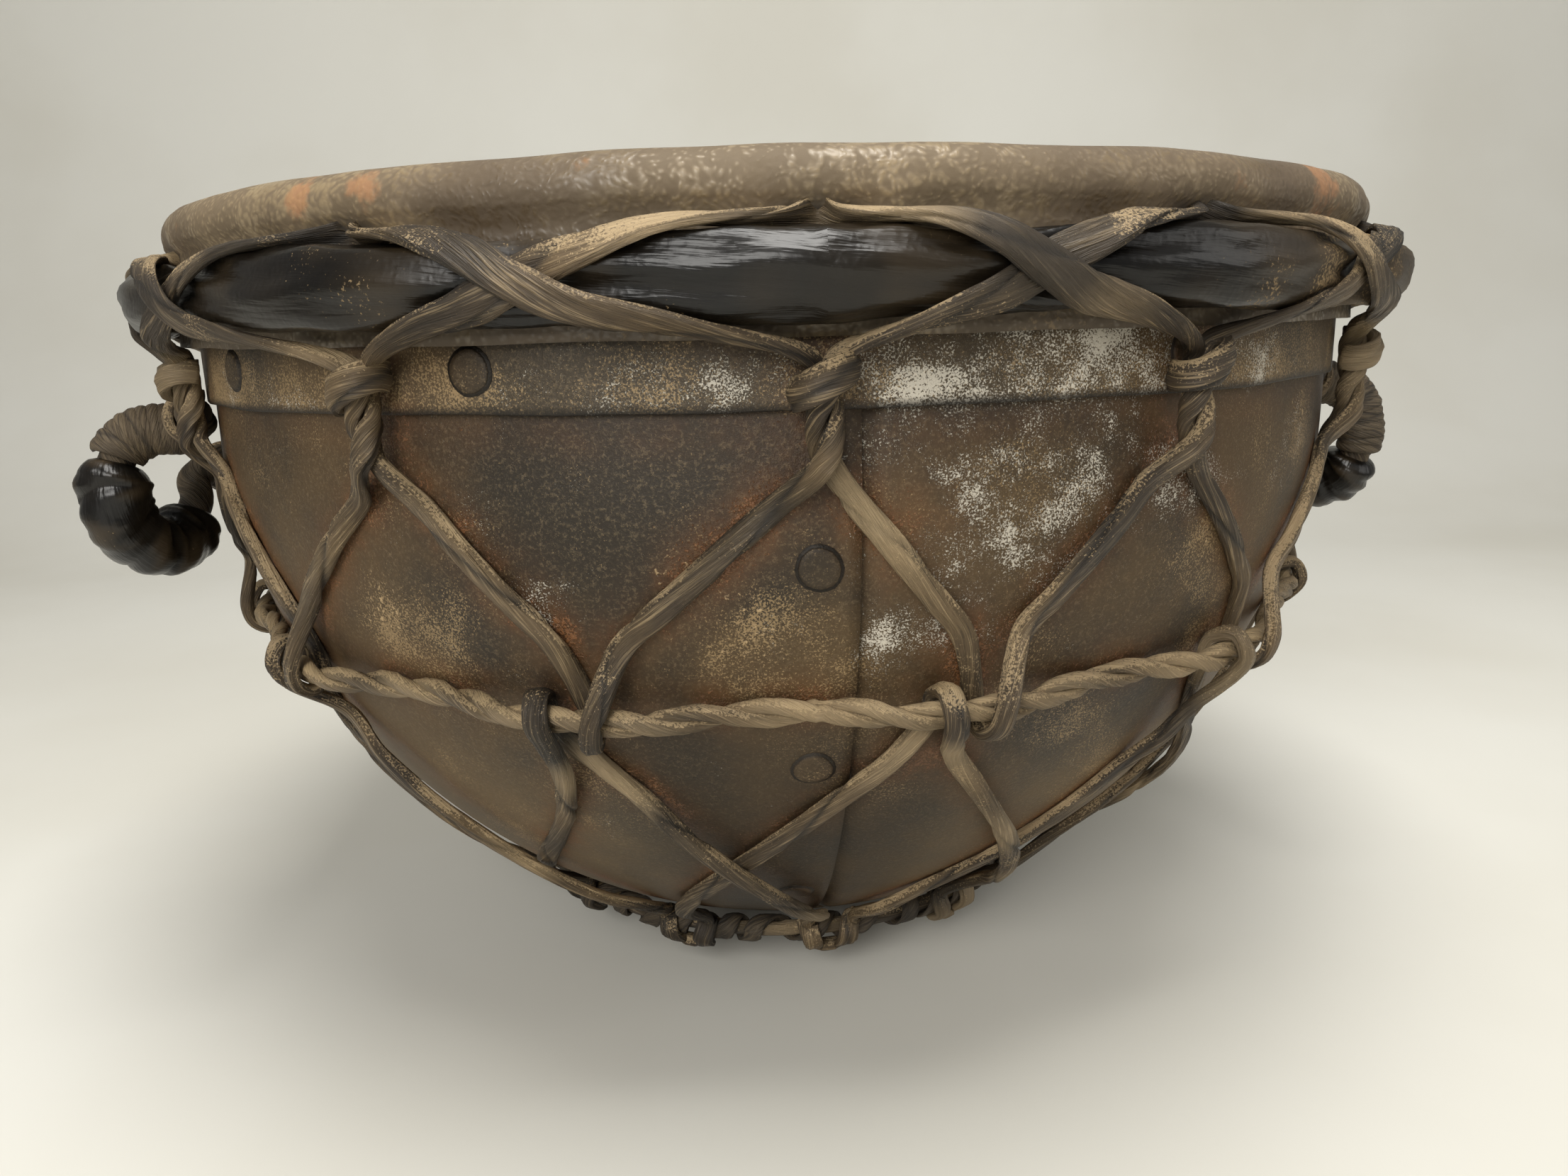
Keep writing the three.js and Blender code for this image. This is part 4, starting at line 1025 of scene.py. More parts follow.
def lacing_paths():
    """Middle lines of the upper lace, the two lower laces and the belt, made once."""
    if not LACING:
        thong = size("lace_thickness")
        LACING["upper"] = smooth_path(upper_lace_stops(thong), 1.3, True)
        LACING["lower_1"] = smooth_path(lower_lace_stops(0, False, thong), 1.4, True)
        LACING["lower_2"] = smooth_path(lower_lace_stops(1, True, thong), 1.4, True)
        steps = [belt_centre(i / 8, thong) for i in range(8 * STATIONS)]
        LACING["belt"] = smooth_path([(p, n, BELT_DEPTH) for p, n, rising in steps], BELT_STEP, True)
    return LACING


def lace_distance(points):
    """How far each point lies from the nearest strand's middle line."""
    places = np.concatenate([path[0] for path in lacing_paths().values()])
    tree = kdtree.KDTree(len(places))
    for i, place in enumerate(places):
        tree.insert(place, i)
    tree.balance()
    return np.array([tree.find(p)[2] for p in points])


def iron_marks(points):
    """Rust beside the lacing, dust in patches, low iron painted lighter at the sides as if lit from the floor
    and darker at the front, and painted shade at the collar's top and under its lip.
    """
    near = np.exp(-np.maximum(0.0, lace_distance(points) - 4.0) / 3.0)
    z = points[:, 2]
    edge = np.exp(-np.abs(z - COLLAR_BOTTOM_Z + 3) / 3.0) * (z < COLLAR_BOTTOM_Z + 1)
    collar = smooth(COLLAR_BOTTOM_Z - 0.5, COLLAR_BOTTOM_Z + 0.5, z)
    low_collar = collar * smooth(COLLAR_BOTTOM_Z + 18, COLLAR_BOTTOM_Z + 4, z)
    cloud = 0.5 + 0.5 * lumps(points, 26.0, 3)
    aside = smooth(*FRONT_SHADE, np.abs(azimuths(points) - FRONT_MIDDLE))
    # A painted shadow just under the collar's bottom edge.
    under = np.exp(-np.abs(z - COLLAR_BOTTOM_Z + 0.6) / 0.7) * (1 - collar)
    return {
        "rust": np.clip(near + 0.55 * edge * (1 - collar), 0, 1),
        "silver": np.clip(patches(points, SILVER_PATCHES) + low_collar * (0.2 + 0.4 * cloud), 0, 0.95),
        "sand": np.clip(patches(points, SAND_PATCHES) + 0.8 * low_collar + 0.4 * cloud, 0, 1),
        "flakes": patches(points, SAND_PATCHES),
        # The low iron at the sides is painted lighter, as light thrown up from the floor; the collar's lower
        # band is pale dust.
        "pale": np.clip(0.55 * aside * smooth(*LOW_IRON_PALE, z) + 0.3 * low_collar, 0, 1),
        "shade": (1 - aside) * smooth(*LOW_IRON_SHADE, z),
        # Painted shade on the collar's top under the roll, and the painted shadow under its edge.
        "shade_and_grime": np.clip(0.85 * collar * smooth(*COLLAR_TOP_SHADE, z) + 0.9 * under, 0, 1),
    }


def offset_profile(profile, inset):
    """A (radius, z) line moved inwards by an inset."""
    slope = units(np.gradient(profile, axis=0))
    return profile + np.stack([-slope[:, 1], slope[:, 0]], axis=1) * inset


def plate_rings(g, levels=60):
    """Sections of one plate, whose leading edge is set in to lie under the last plate's edge."""
    end_radius = DISH_EDGE_RADIUS - DISH_LAP
    heights = np.linspace(bowl_height(end_radius), PLATE_TOP_Z, 400)
    profile = resample(np.stack([bowl_radius(heights), heights], axis=1), levels)
    seam = math.radians(SEAM_AZIMUTH + 360 / GORES * g)
    joggle = SHEET + PLATE_GAP
    around = np.maximum(profile[:, 0], end_radius)
    places = [(seam + mm / around, inset) for mm, inset in
              ((-SEAM_LAP, joggle), (-6, joggle), (0.3, joggle), (1.5, 0.8 * joggle), (3, 0.4 * joggle),
               (4.5, 0.1 * joggle), (6, 0.0))]
    for degrees in np.arange(9.0, 360 / GORES + 0.01, PLATE_STEP):
        places.append((np.full(levels, seam + math.radians(degrees)), 0.0))
    places[-1] = (np.full(levels, seam + 2 * math.pi / GORES), 0.0)
    rings = []
    for azimuth, inset in places:
        ring = []
        for depth in (inset, inset + SHEET):
            line = offset_profile(profile, depth)
            radius, z = line.T
            points = np.stack([np.sin(azimuth) * radius, -np.cos(azimuth) * radius, z], axis=1)
            ring.append(points if depth == inset else points[::-1])
        rings.append(np.concatenate(ring))
    return np.array(rings)


def dented(points, depth):
    """Points moved in and out by hammered dents."""
    out = points * np.array([1.0, 1.0, 0.0])
    out = out / np.maximum(np.linalg.norm(out, axis=1), 1e-6)[:, None]
    return points + out * (depth * (0.7 * lumps(points, 42.0, 1) + 0.4 * lumps(points, 17.0, 2)))[:, None]


def turned_rings(profile, steps):
    """A closed (radius, z) profile turned round the axis."""
    azimuth = round_turn(steps)
    radius, z = np.asarray(profile).T
    return np.stack([np.sin(azimuth)[:, None] * radius, -np.cos(azimuth)[:, None] * radius,
                     np.tile(z, (steps, 1))], axis=-1)


class KETTLE_OT_bowl_plates(Operator):
    """Makes the three lapped plates of the bowl"""
    bl_idname = "kettle.bowl_plates"
    bl_label = "Bowl Plates"

    def execute(self, context):
        depth = size("dent_depth")
        for g in range(GORES):
            points, faces, uv = loft(plate_rings(g), False)
            points = dented(points, depth)
            piece = add_mesh(f"bowl_plate_{g + 1}", [(points, faces, uv)], iron_marks(points))
            dress(piece, iron_finish(), "drum", [f"gore_plate_{g + 1}"])
        return {"FINISHED"}


class KETTLE_OT_bottom_dish(Operator):
    """Makes the pressed dish that closes the bowl below"""
    bl_idname = "kettle.bottom_dish"
    bl_label = "Bottom Dish"

    def execute(self, context):
        low, high = bowl_height(DISH_EDGE_RADIUS - DISH_LAP), bowl_height(DISH_EDGE_RADIUS)
        heights = np.linspace(low, high, 10)
        lap = np.stack([bowl_radius(heights), heights], axis=1)
        flat, half = DISH_FLAT_RADIUS, DISH_FLAT_RADIUS * 0.5
        inner = np.concatenate([[(0.0, SHEET), (half, SHEET), (flat, SHEET)], offset_profile(lap, -DISH_GAP)])
        outer = np.concatenate([offset_profile(lap, -DISH_GAP - SHEET)[::-1],
                                [(flat + 1, 0.15), (flat, 0.0), (half, 0.0), (0.0, 0.0)]])
        points, faces, uv = loft(turned_rings(np.concatenate([inner, outer]), DISH_STEPS), True)
        piece = add_mesh("bottom_dish_skin", [(points, faces, uv)], iron_marks(points), weld=True)
        dress(piece, iron_finish(), "drum", ["bottom_dish"])
        return {"FINISHED"}


class KETTLE_OT_collar(Operator):
    """Makes the collar band riveted round the bowl's mouth"""
    bl_idname = "kettle.collar"
    bl_label = "Collar Band"

    def execute(self, context):
        outer = [(COLLAR_RADIUS - 0.3, COLLAR_BOTTOM_Z), (COLLAR_RADIUS, COLLAR_BOTTOM_Z + 0.4)]
        outer += [(COLLAR_RADIUS, z) for z in np.linspace(COLLAR_BOTTOM_Z + 2, COLLAR_TOP_Z, 14)]
        inner = [(COLLAR_RADIUS - SHEET, z) for z in np.linspace(COLLAR_TOP_Z, COLLAR_BOTTOM_Z, 6)]
        points, faces, uv = loft(turned_rings(outer + inner, COLLAR_STEPS), True)
        wave = lumps(points * np.array([1, 1, 0]), 30.0, 4)
        # A painted shadow along the collar's bottom lip.
        lip_shadow = smooth(1.9, 0.4, points[:, 2] - COLLAR_BOTTOM_Z)
        points = dented(points, 0.7 * size("dent_depth"))
        points[:, 2] += 0.7 * wave * smooth(COLLAR_BOTTOM_Z + 8, COLLAR_BOTTOM_Z, points[:, 2])
        marks = iron_marks(points)
        marks["shade_and_grime"] = np.maximum(marks["shade_and_grime"], lip_shadow)
        piece = add_mesh("collar_band_skin", [(points, faces, uv)], marks)
        dress(piece, iron_finish(), "drum", ["collar_band"])
        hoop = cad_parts["rim_hoop"]
        hoop.material_slots[0].material = iron_finish()
        return {"FINISHED"}


def rivet_rings(place, normal, radius, stack, seed):
    """A hammered rivet head with a ring of grime and painted shade round its rim, and its marks."""
    across = unit(np.cross(UP, normal))
    along = np.cross(normal, across)
    turn = round_turn(RIVET_SIDES)
    rough = 1 + 0.05 * ripple(np.cos(turn) * 2 + np.sin(turn), seed)
    # From the tail inside the bowl to the middle of the head: share of the radius, height, and grime with
    # painted shade.
    profile = ((0.72, -stack - 1.5, 0), (0.72, -stack - 0.3, 0), (0.5, -stack - 0.2, 0), (0.5, -1.0, 0),
               (1.17, -0.8, 1), (1.15, 0.05, 0.9), (1.02, 0.06, 1), (1.0, 0.3, 0.6), (0.95, 0.58, 0.1),
               (0.75, 0.68, 0), (0.35, 0.72, 0), (0.02, 0.72, 0))
    rings, shade_and_grime = [], []
    for share, height, dirt in profile:
        rings.append(place + normal * height + radius * share * rough[:, None] * swung(across, along, turn))
        shade_and_grime.append(np.full(RIVET_SIDES, float(dirt)))
    return loft(rings, False), np.concatenate(shade_and_grime)


class KETTLE_OT_rivets(Operator):
    """Makes the rivets of the collar, the seams and the dish"""
    bl_idname = "kettle.rivets"
    bl_label = "Rivets"

    def execute(self, context):
        radius = size("rivet_radius")
        rows = {"collar_rivets": [], "seam_rivets": [], "dish_rivets": []}
        nodes = {key: [] for key in rows}
        for g in range(GORES):
            seam = math.radians(SEAM_AZIMUTH + 360 / GORES * g)
            for angle in COLLAR_RIVET_ANGLES:
                azimuth = seam + math.radians(angle)
                place = polar(azimuth, COLLAR_RADIUS, COLLAR_RIVET_Z)
                rows["collar_rivets"].append((place, outward(azimuth)))
                nodes["collar_rivets"].append(f"collar_rivet_{len(rows['collar_rivets'])}")
            for i, z in enumerate(SEAM_RIVET_Z):
                azimuth = seam - SEAM_LAP / 2 / bowl_radius(z)
                rows["seam_rivets"].append(bowl_skin(azimuth, z)[:2])
                nodes["seam_rivets"].append(f"seam_{g + 1}_rivet_{i + 1}")
        for i in range(DISH_RIVETS):
            azimuth = math.radians(SEAM_AZIMUTH + 360 * (i + 0.5) / DISH_RIVETS)
            place, normal, rising = bowl_skin(azimuth, bowl_height(DISH_EDGE_RADIUS - DISH_LAP / 2))
            rows["dish_rivets"].append((place + normal * (SHEET + DISH_GAP), normal))
            nodes["dish_rivets"].append(f"dish_rivet_{i + 1}")
        for key, places in rows.items():
            made = [rivet_rings(*seat, radius, 2 * SHEET, i) for i, seat in enumerate(places)]
            points = np.concatenate([part[0] for part, shade_and_grime in made])
            marks = iron_marks(points)
            # Each head's ring of grime and painted shade.
            marks["shade_and_grime"] = np.concatenate([shade_and_grime for part, shade_and_grime in made])
            marks["silver"] *= 0.2
            marks["sand"] *= 0.15
            marks["pale"] *= 0.0
            marks["shade"] = np.full(len(points), 0.55)
            piece = add_mesh(key, [part for part, shade_and_grime in made], marks)
            dress(piece, iron_finish(), "drum", nodes[key])
        return {"FINISHED"}


def head_profile():
    """The hide's outer (radius, z) line from its middle, over the shoulder, to the skirt's end."""
    top = HOOP_Z + SHOULDER_RADIUS
    line = [(r, top) for r in np.linspace(0, 0.93 * HOOP_CENTRE_RADIUS, 12)]
    for angle in np.radians(np.linspace(90, -25, 15)):
        across, rise = SHOULDER_RADIUS * math.cos(angle), SHOULDER_RADIUS * math.sin(angle)
        line.append((HOOP_CENTRE_RADIUS + across, HOOP_Z + rise))
    line += [(SKIRT_RADIUS + 0.4, z) for z in np.linspace(SKIRT_TOP_Z, SKIRT_END_Z, 12)]
    return np.array(line)


class KETTLE_OT_head(Operator):
    """Makes the hide head, drawn over the rim and down behind the roll"""
    bl_idname = "kettle.head"
    bl_label = "Hide Head"

    def execute(self, context):
        pucker = size("pucker_depth")
        outer = head_profile()
        inner = offset_profile(outer, -HIDE)[::-1]
        inner[:, 0] = np.maximum(inner[:, 0], 0.0)
        inner[-1, 0] = 0.0
        points, faces, uv = loft(turned_rings(np.concatenate([outer, inner]), HEAD_STEPS), True)
        azimuth = azimuths(points)
        radius = radii(points)
        z = points[:, 2].copy()
        skirt = smooth(*HEAD_SHOULDER, radius)
        out = points * np.array([1, 1, 0]) / np.maximum(radius, 1e-6)[:, None]
        rough = 0.55 * lumps(points, 19.0, 5) + 0.3 * lumps(points, 8.0, 6)
        draw = np.zeros(len(points))
        slit_shade = np.zeros(len(points))
        for i in range(STATIONS):
            turn = (azimuth - math.degrees(station_angle(i)) + 180) % 360 - 180
            draw -= np.exp(-(turn / 2.2) ** 2) * smooth(*HIDE_DRAWN, z)
            draw += 0.8 * np.exp(-((np.abs(turn) - 4.5) / 1.6) ** 2) * smooth(*HIDE_BULGE, z)
            slit_shade = np.maximum(slit_shade, np.exp(-(turn / 2.6) ** 4 - ((z - EYELET_Z - 1.5) / 2.0) ** 2))
        ruck = np.sin(np.radians(azimuth) * HIDE_RUCK_COUNT + 3 * lumps(points, 40.0, 7))
        ruck = 0.35 * ruck * smooth(*HIDE_RUCKS, z)
        points = points + out * (skirt * (rough + pucker * (1.2 * draw + ruck)))[:, None]
        points[:, 2] += 0.5 * skirt * lumps(points, 24.0, 8)
        marks = {
            "worn": patches(points, WORN_PATCHES) + 0.25 * smooth(0.25, 0.6, lumps(points, 30.0, 9)),
            "dust": np.clip(0.6 * smooth(*HIDE_DUST, z) + 0.4 * lumps(points, 20.0, 10), 0, 1),
            # Painted shade in the lacing slits and on the skirt where it hangs behind the roll.
            "shade_and_grime": np.clip(slit_shade + 0.5 * smooth(*HIDE_SKIRT_SHADE, z) * (radius > HEAD_SHOULDER[0]), 0, 1),
        }
        piece = add_mesh("hide_head", [(points, faces, uv)], marks, weld=True)
        dress(piece, hide_finish(), "drum", ["drum_head"])
        return {"FINISHED"}


class KETTLE_OT_rolled_edge(Operator):
    """Makes the rolled hide edge, folded along itself and drawn in between the knots"""
    bl_idname = "kettle.rolled_edge"
    bl_label = "Rolled Edge"

    def execute(self, context):
        sides, steps = 36, 48
        s = np.arange(STATIONS * steps) / steps
        angle = 360.0 * np.arange(sides) / sides
        drawn = 0.5 - 0.5 * np.cos(2 * math.pi * s)
        turn = np.radians(angle)[None, :]
        sway = ripple(2 * math.pi * s / 3, 11)[:, None]
        fold = 0.55 * np.sin(3 * turn + 2.2 * sway + 1.5 * np.sin(2 * math.pi * s)[:, None])
        pleat = np.sin(7 * turn + 3.0 * ripple(2 * math.pi * s / 2, 12)[:, None])
        lift = fold + (0.32 + 0.4 * drawn[:, None] ** 2) * pleat - 0.45
        rings = [[over_roll(a, b, lift[i, k])[0] for k, b in enumerate(angle)] for i, a in enumerate(s)]
        points, faces, uv = loft(rings, True)
        points = points + (0.45 * lumps(points, 9.0, 13))[:, None] * np.array([0, 0, 1.0])
        azimuth = azimuths(points)
        right = smooth(*ROLL_BROWN_IN, azimuth) * smooth(*ROLL_BROWN_OUT, azimuth)
        top = np.tile(smooth(0.35, 0.95, np.sin(turn[0])), len(s))
        pinched = np.repeat(drawn, sides)
        # Painted shade in the pleats' hollows, deeper where the roll is drawn in.
        hollow_shade = np.clip(-pleat, 0, 1).ravel() * (0.35 + 0.65 * pinched)
        cloud = lumps(points, 14.0, 14)
        settled = 0.2 * pinched * (cloud > 0)
        marks = {
            "dust": np.clip(0.15 * top + 0.6 * right + settled + 0.35 * cloud - 0.1, 0, 1),
            "shade_and_grime": np.clip(0.8 * hollow_shade, 0, 1),
        }
        piece = add_mesh("rolled_hide_edge", [(points, faces, uv)], marks)
        dress(piece, black_hide_finish(), "drum", ["rolled_edge"])
        return {"FINISHED"}


def thong_marks(points, fold, seed):
    """A strip's open fold, its black lengths, most over the roll, with painted shade near the base, and its
    rubbed ones.
    """
    z = points[:, 2]
    # Laces over the roll are blackened; those near the base are painted darker as shade under the bowl.
    soiled_and_shaded = 0.55 * smooth(*THONG_SOIL_OVER_ROLL, z) + 0.65 * smooth(*THONG_SHADE_AT_BASE, z)
    return {"fold": fold, "black": np.clip(2.0 * lumps(points, 38.0, seed) - 0.2 + soiled_and_shaded, 0, 1),
            "rubbed": np.clip(1.3 * lumps(points, 29.0, seed + 60) - 0.25, 0, 1)}


def add_thong(name, path, width, closed, seeds, node, sides=20, painted_shade=0.0):
    """A strip of hide along a path, which rides on the drum and stands for one solid."""
    rings, fold = thong_rings(path, width, closed, seeds[0], sides)
    part = loft(rings, closed)
    piece = add_mesh(name, [part], thong_marks(part[0], np.clip(fold + painted_shade, 0, 1), seeds[1]))
    dress(piece, thong_finish(), "drum", [node])


def add_wrap(name, path, width, closed, seed, sides, body, node, painted_shade=0.0):
    """A flat cord wound along a path, which stands for one solid."""
    rings, fold = thong_rings(path, width, closed, seed, sides)
    piece = add_mesh(name, [loft(rings, closed)], {"fold": np.clip(fold + painted_shade, 0, 1)})
    dress(piece, cord_finish(), body, [node])


def knot_hitch(s, thong):
    """A strip across the front of a knot's top, from one side of it to the other."""
    azimuth = station_angle(s)
    stops = []
    for angle in np.radians(np.linspace(-HITCH_SPREAD, HITCH_SPREAD, 9)):
        facing = outward(azimuth) * math.cos(angle) + sideways(azimuth) * math.sin(angle)
        axis = polar(azimuth, knot_radius(thong), KNOT_TOP_Z - 3.5 + 2.6 * math.sin(angle))
        stops.append((axis + facing * 1.5 * thong, facing, thong))
    return smooth_path(stops, 1.0, False)


class KETTLE_OT_upper_lacing(Operator):
    """Makes the upper lace, threaded through eyelets, knotted below the roll and looped round the belt"""
    bl_idname = "kettle.upper_lacing"
    bl_label = "Upper Lacing"

    def execute(self, context):
        width = size("lace_width")
        strands = [thong_rings(lacing_paths()["upper"], width, True, 21)]
        for i in range(STATIONS):
            if all(abs(i - loop["station"] % STATIONS) > HITCH_CLEAR for loop in LOOPS.values()):
                hitch = knot_hitch(i, size("lace_thickness"))
                strands.append(thong_rings(hitch, HITCH_WIDENED * width, False, 100 + i))
        parts = [loft(rings, i == 0) for i, (rings, fold) in enumerate(strands)]
        points = np.concatenate([rings.reshape(-1, 3) for rings, fold in strands])
        marks = thong_marks(points, np.concatenate([fold for rings, fold in strands]), 22)
        piece = add_mesh("upper_thong", parts, marks)
        dress(piece, thong_finish(), "drum", ["upper_lace"])
        return {"FINISHED"}


class KETTLE_OT_lower_lacing(Operator):
    """Makes the two lower laces between the belt and the base ring"""
    bl_idname = "kettle.lower_lacing"
    bl_label = "Lower Lacing"

    def execute(self, context):
        width = size("lace_width")
        for strand in (1, 2):
            path = lacing_paths()[f"lower_{strand}"]
            seeds = (30 + strand, 32 + strand)
            add_thong(f"lower_thong_{strand}", path, width, True, seeds, f"lower_lace_{strand}")
        return {"FINISHED"}


class KETTLE_OT_belt(Operator):
    """Makes the belt, two strips twisted into a rope"""
    bl_idname = "kettle.belt"
    bl_label = "Belt"

    def execute(self, context):
        places, faces, thick = lacing_paths()["belt"]
        run, face, across = strand_frames(places, faces, True)
        along = lengths(places)
        width, strip = BELT_STRIP
        parts, folds = [], []
        for strand in (0, 1):
            turned = BELT_ROPE_TURNS * along / (along[-1] + BELT_STEP) + strand / 2
            phase = 2 * math.pi * turned + 0.5 * ripple(along / 70.0, 40)
            middle = places + swung(1.05 * face, 1.65 * across, phase)
            facing = swung(face, across, phase)
            path = (middle, facing, np.full(len(along), strip))
            rings, fold = thong_rings(path, width, True, 41 + strand, CORD_SIDES)
            parts.append(loft(rings, True))
            folds.append(fold)
        points = np.concatenate([part[0] for part in parts])
        marks = {"fold": np.concatenate(folds), "black": np.clip(1.2 * lumps(points, 38.0, 43) - 0.4, 0, 1),
                 "rubbed": np.clip(0.35 + 0.6 * lumps(points, 17.0, 44), 0, 1)}
        piece = add_mesh("belt_rope", parts, marks)
        dress(piece, thong_finish(), "drum", ["belt_cord"])
        return {"FINISHED"}


class KETTLE_OT_base_ring(Operator):
    """Makes the ring under the bowl and its binding"""
    bl_idname = "kettle.base_ring"
    bl_label = "Base Ring"

    def execute(self, context):
        width, thick = BASE_CORE_STRIP
        core = smooth_path([(*base_stop(a, 0, 0.0), thick) for a in round_turn(72)], 1.5, True)
        # The ring's core and binding are painted darker, as shade under the bowl.
        add_thong("base_ring_thong", core, width, True, (51, 52), "base_ring_core", CORD_SIDES, 0.5)
        width, thick = BASE_WRAP_STRIP
        count = context.scene.kettle_sizes.base_turns * BASE_WRAP_STEPS
        wander = ripple(np.arange(count) / 30.0, 53)
        stops = []
        for i in range(count):
            azimuth = 2 * math.pi * (i + 9 * wander[i]) / count
            angle = 360.0 * i / BASE_WRAP_STEPS
            stops.append((*base_stop(azimuth, angle, BASE_RING_TUBE - thick / 2), thick))
        wrap = smooth_path(stops, 1.2, True)
        add_wrap("base_ring_wrap", wrap, width, True, 54, 10, "drum", "base_ring_binding", 0.6)
        return {"FINISHED"}


def loop_places(side, shares):
    """Places along a carrying loop, with a side that follows it untwisted and its run, in the row frame."""
    origin, axes = loop_frame(side)
    path = smooth_path([(p, UP, 1.0) for p in loop_route(side)], 0.5, False)[0]
    at = lengths(path)
    want = np.asarray(shares) * at[-1]
    places = np.stack([np.interp(want, at, path[:, i]) for i in range(3)], axis=1)
    run = np.gradient(path, axis=0)
    run = np.stack([np.interp(want, at, run[:, i]) for i in range(3)], axis=1)
    run = units(run)
    face = UP
    faces = []
    for step in run:
        face = unit(face - step * (face @ step))
        faces.append(face)
    return origin + places @ axes, np.array(faces) @ axes, run @ axes


def loop_tube(side, shares, radius, sides=LOOP_SIDES):
    """Sections of a round piece along a carrying loop. The radius may differ round each section."""
    places, faces, run = loop_places(side, shares)
    across = np.cross(run, faces)
    turn = round_turn(sides)
    ring = faces[:, None, :] * np.cos(turn)[None, :, None] + across[:, None, :] * np.sin(turn)[None, :, None]
    return places[:, None, :] + ring * radius[..., None]


class KETTLE_OT_carrying_loops(Operator):
    """Makes the two carrying loops with their wound cord, hide sleeves and ties"""
    bl_idname = "kettle.carrying_loops"
    bl_label = "Carrying Loops"

    def execute(self, context):
        for number, side in enumerate(LOOPS):
            self.make_core(side)
            self.make_binding(context, side, number)
            self.make_sleeve(side, number)
            self.make_ties(side, number)
        return {"FINISHED"}

    def make_core(self, side):
        shares = np.linspace(0, 1, 130)
        turn = round_turn(LOOP_SIDES)
        lay = np.abs(np.sin(1.5 * turn[None, :] + 22 * shares[:, None] * math.pi / 2))
        rings = loop_tube(side, shares, LOOP_CORD_RADIUS * (0.88 + 0.13 * lay))
        # Painted shade between the laid strands.
        fold = np.clip(1 - 1.6 * lay, 0, 1).ravel()
        piece = add_mesh(f"{side}_loop_rope", [loft(rings, False)], {"fold": fold})
        dress(piece, cord_finish(), f"{side}_loop", [f"{side}_loop_core"])

    def make_binding(self, context, side, number):
        first, last = LOOPS[side]["binding"]
        turns = round(context.scene.kettle_sizes.binding_turns * (last - first) / LEFT_BINDING_SHARE)
        count = turns * LOOP_WRAP_STEPS
        width, thick = LOOP_WRAP_STRIP
        places, faces, run = loop_places(side, np.linspace(first, last, count + 1))
        across = np.cross(run, faces)
        phase = 2 * math.pi * np.arange(count + 1) / LOOP_WRAP_STEPS
        facing = swung(faces, across, phase)
        rise = LOOP_CORD_RADIUS + LOOP_WRAP_RISE + 0.15 * ripple(phase / 4, 60 + number)
        stops = [(places[i] + facing[i] * rise[i], facing[i], thick) for i in range(count + 1)]
        wrap = smooth_path(stops, 1.0, False)
        loop = f"{side}_loop"
        add_wrap(f"{loop}_wrap", wrap, width, False, 61 + number, CORD_SIDES, loop, f"{loop}_binding")

    def make_sleeve(self, side, number):
        t = np.linspace(0, 1, 60)
        shares = mix(*LOOPS[side]["sleeve"], t)
        turn = round_turn(SLEEVE_SIDES)
        full = LOOP_CORD_RADIUS + LOOP_SLEEVE_WALL
        sway = ripple(t * 9, 70 + number)[:, None]
        crease = 0.6 * np.sin(2 * turn[None, :] + 13 * t[:, None] + 2 * sway)
        crease = crease + 1.5 * np.abs(np.sin(turn[None, :] - 11 * t[:, None] + sway)) ** 0.5 - 1.6
        ends = np.clip(np.minimum(t, 1 - t) / 0.07, 0, 1) ** 0.5
        radius = mix(LOOP_CORD_RADIUS * 0.9, full, ends[:, None]) + crease * ends[:, None]
        points, faces, uv = loft(loop_tube(side, shares, radius, SLEEVE_SIDES), False)
        ridge = crease.ravel()
        # Dust with a painted highlight on the crease ridges, and painted shade in the creases.
        marks = {"dust": np.clip(0.3 * lumps(points, 8.0, 72) + 0.5 * ridge + 0.1, 0, 1),
                 "shade_and_grime": np.clip(-0.8 - ridge, 0, 1)}
        piece = add_mesh(f"{side}_loop_hide_sleeve", [(points, faces, uv)], marks)
        dress(piece, black_hide_finish(), f"{side}_loop", [f"{side}_loop_sleeve"])

    def make_ties(self, side, number):
        origin, axes = loop_frame(side)
        ahead = LOOPS[side]["ahead"]
        width, thick = TIE_STRIP
        for tie, way in (("front", ahead), ("rear", -ahead)):
            x = way * (LOOP_HALF_SPAN + LOOP_BEND + LOOP_STUB / 2)
            stops = []
            for angle in np.radians(np.linspace(-TIE_SPREAD, TIE_SPREAD, 9)):
                facing = np.array([0.0, math.cos(angle), math.sin(angle)])
                place = facing * (LOOP_CORD_RADIUS + TIE_LIFT) + np.array([x, 0, 0])
                stops.append((origin + place @ axes, facing @ axes, thick))
            path = smooth_path(stops, 1.0, False)
            name = f"{side}_loop_{tie}"
            add_thong(f"{name}_thong", path, width, False, (80 + number, 82), f"{name}_tie", CORD_SIDES)


AIR_COLOUR = (1.0, 0.985, 0.96, 1.0)
AIR_STRENGTH = 0.24
LAMP_COLOUR = (1.0, 0.98, 0.94)
# Each lamp's name, place, aim and width in metres, and power in watts.
LAMPS = (
    ("overhead_light", (0.05, -0.3, 1.2), (0, 0, 0.1), 0.55, 13.0),
    ("front_light", (-0.4, -1.3, 0.75), (0, -0.1, 0.1), 0.7, 16.5),
    ("right_light", (1.3, -0.5, 0.8), (0, 0, 0.12), 0.8, 3.5),
)
# The photograph's camera: its place in metres, its turns in degrees and its lens in millimetres.
CAMERA_PLACE = (0.0, -0.3769, 0.1901)
CAMERA_PITCH = 13.125
CAMERA_YAW = 0.364
CAMERA_ROLL = -1.538
CAMERA_LENS = 26.13


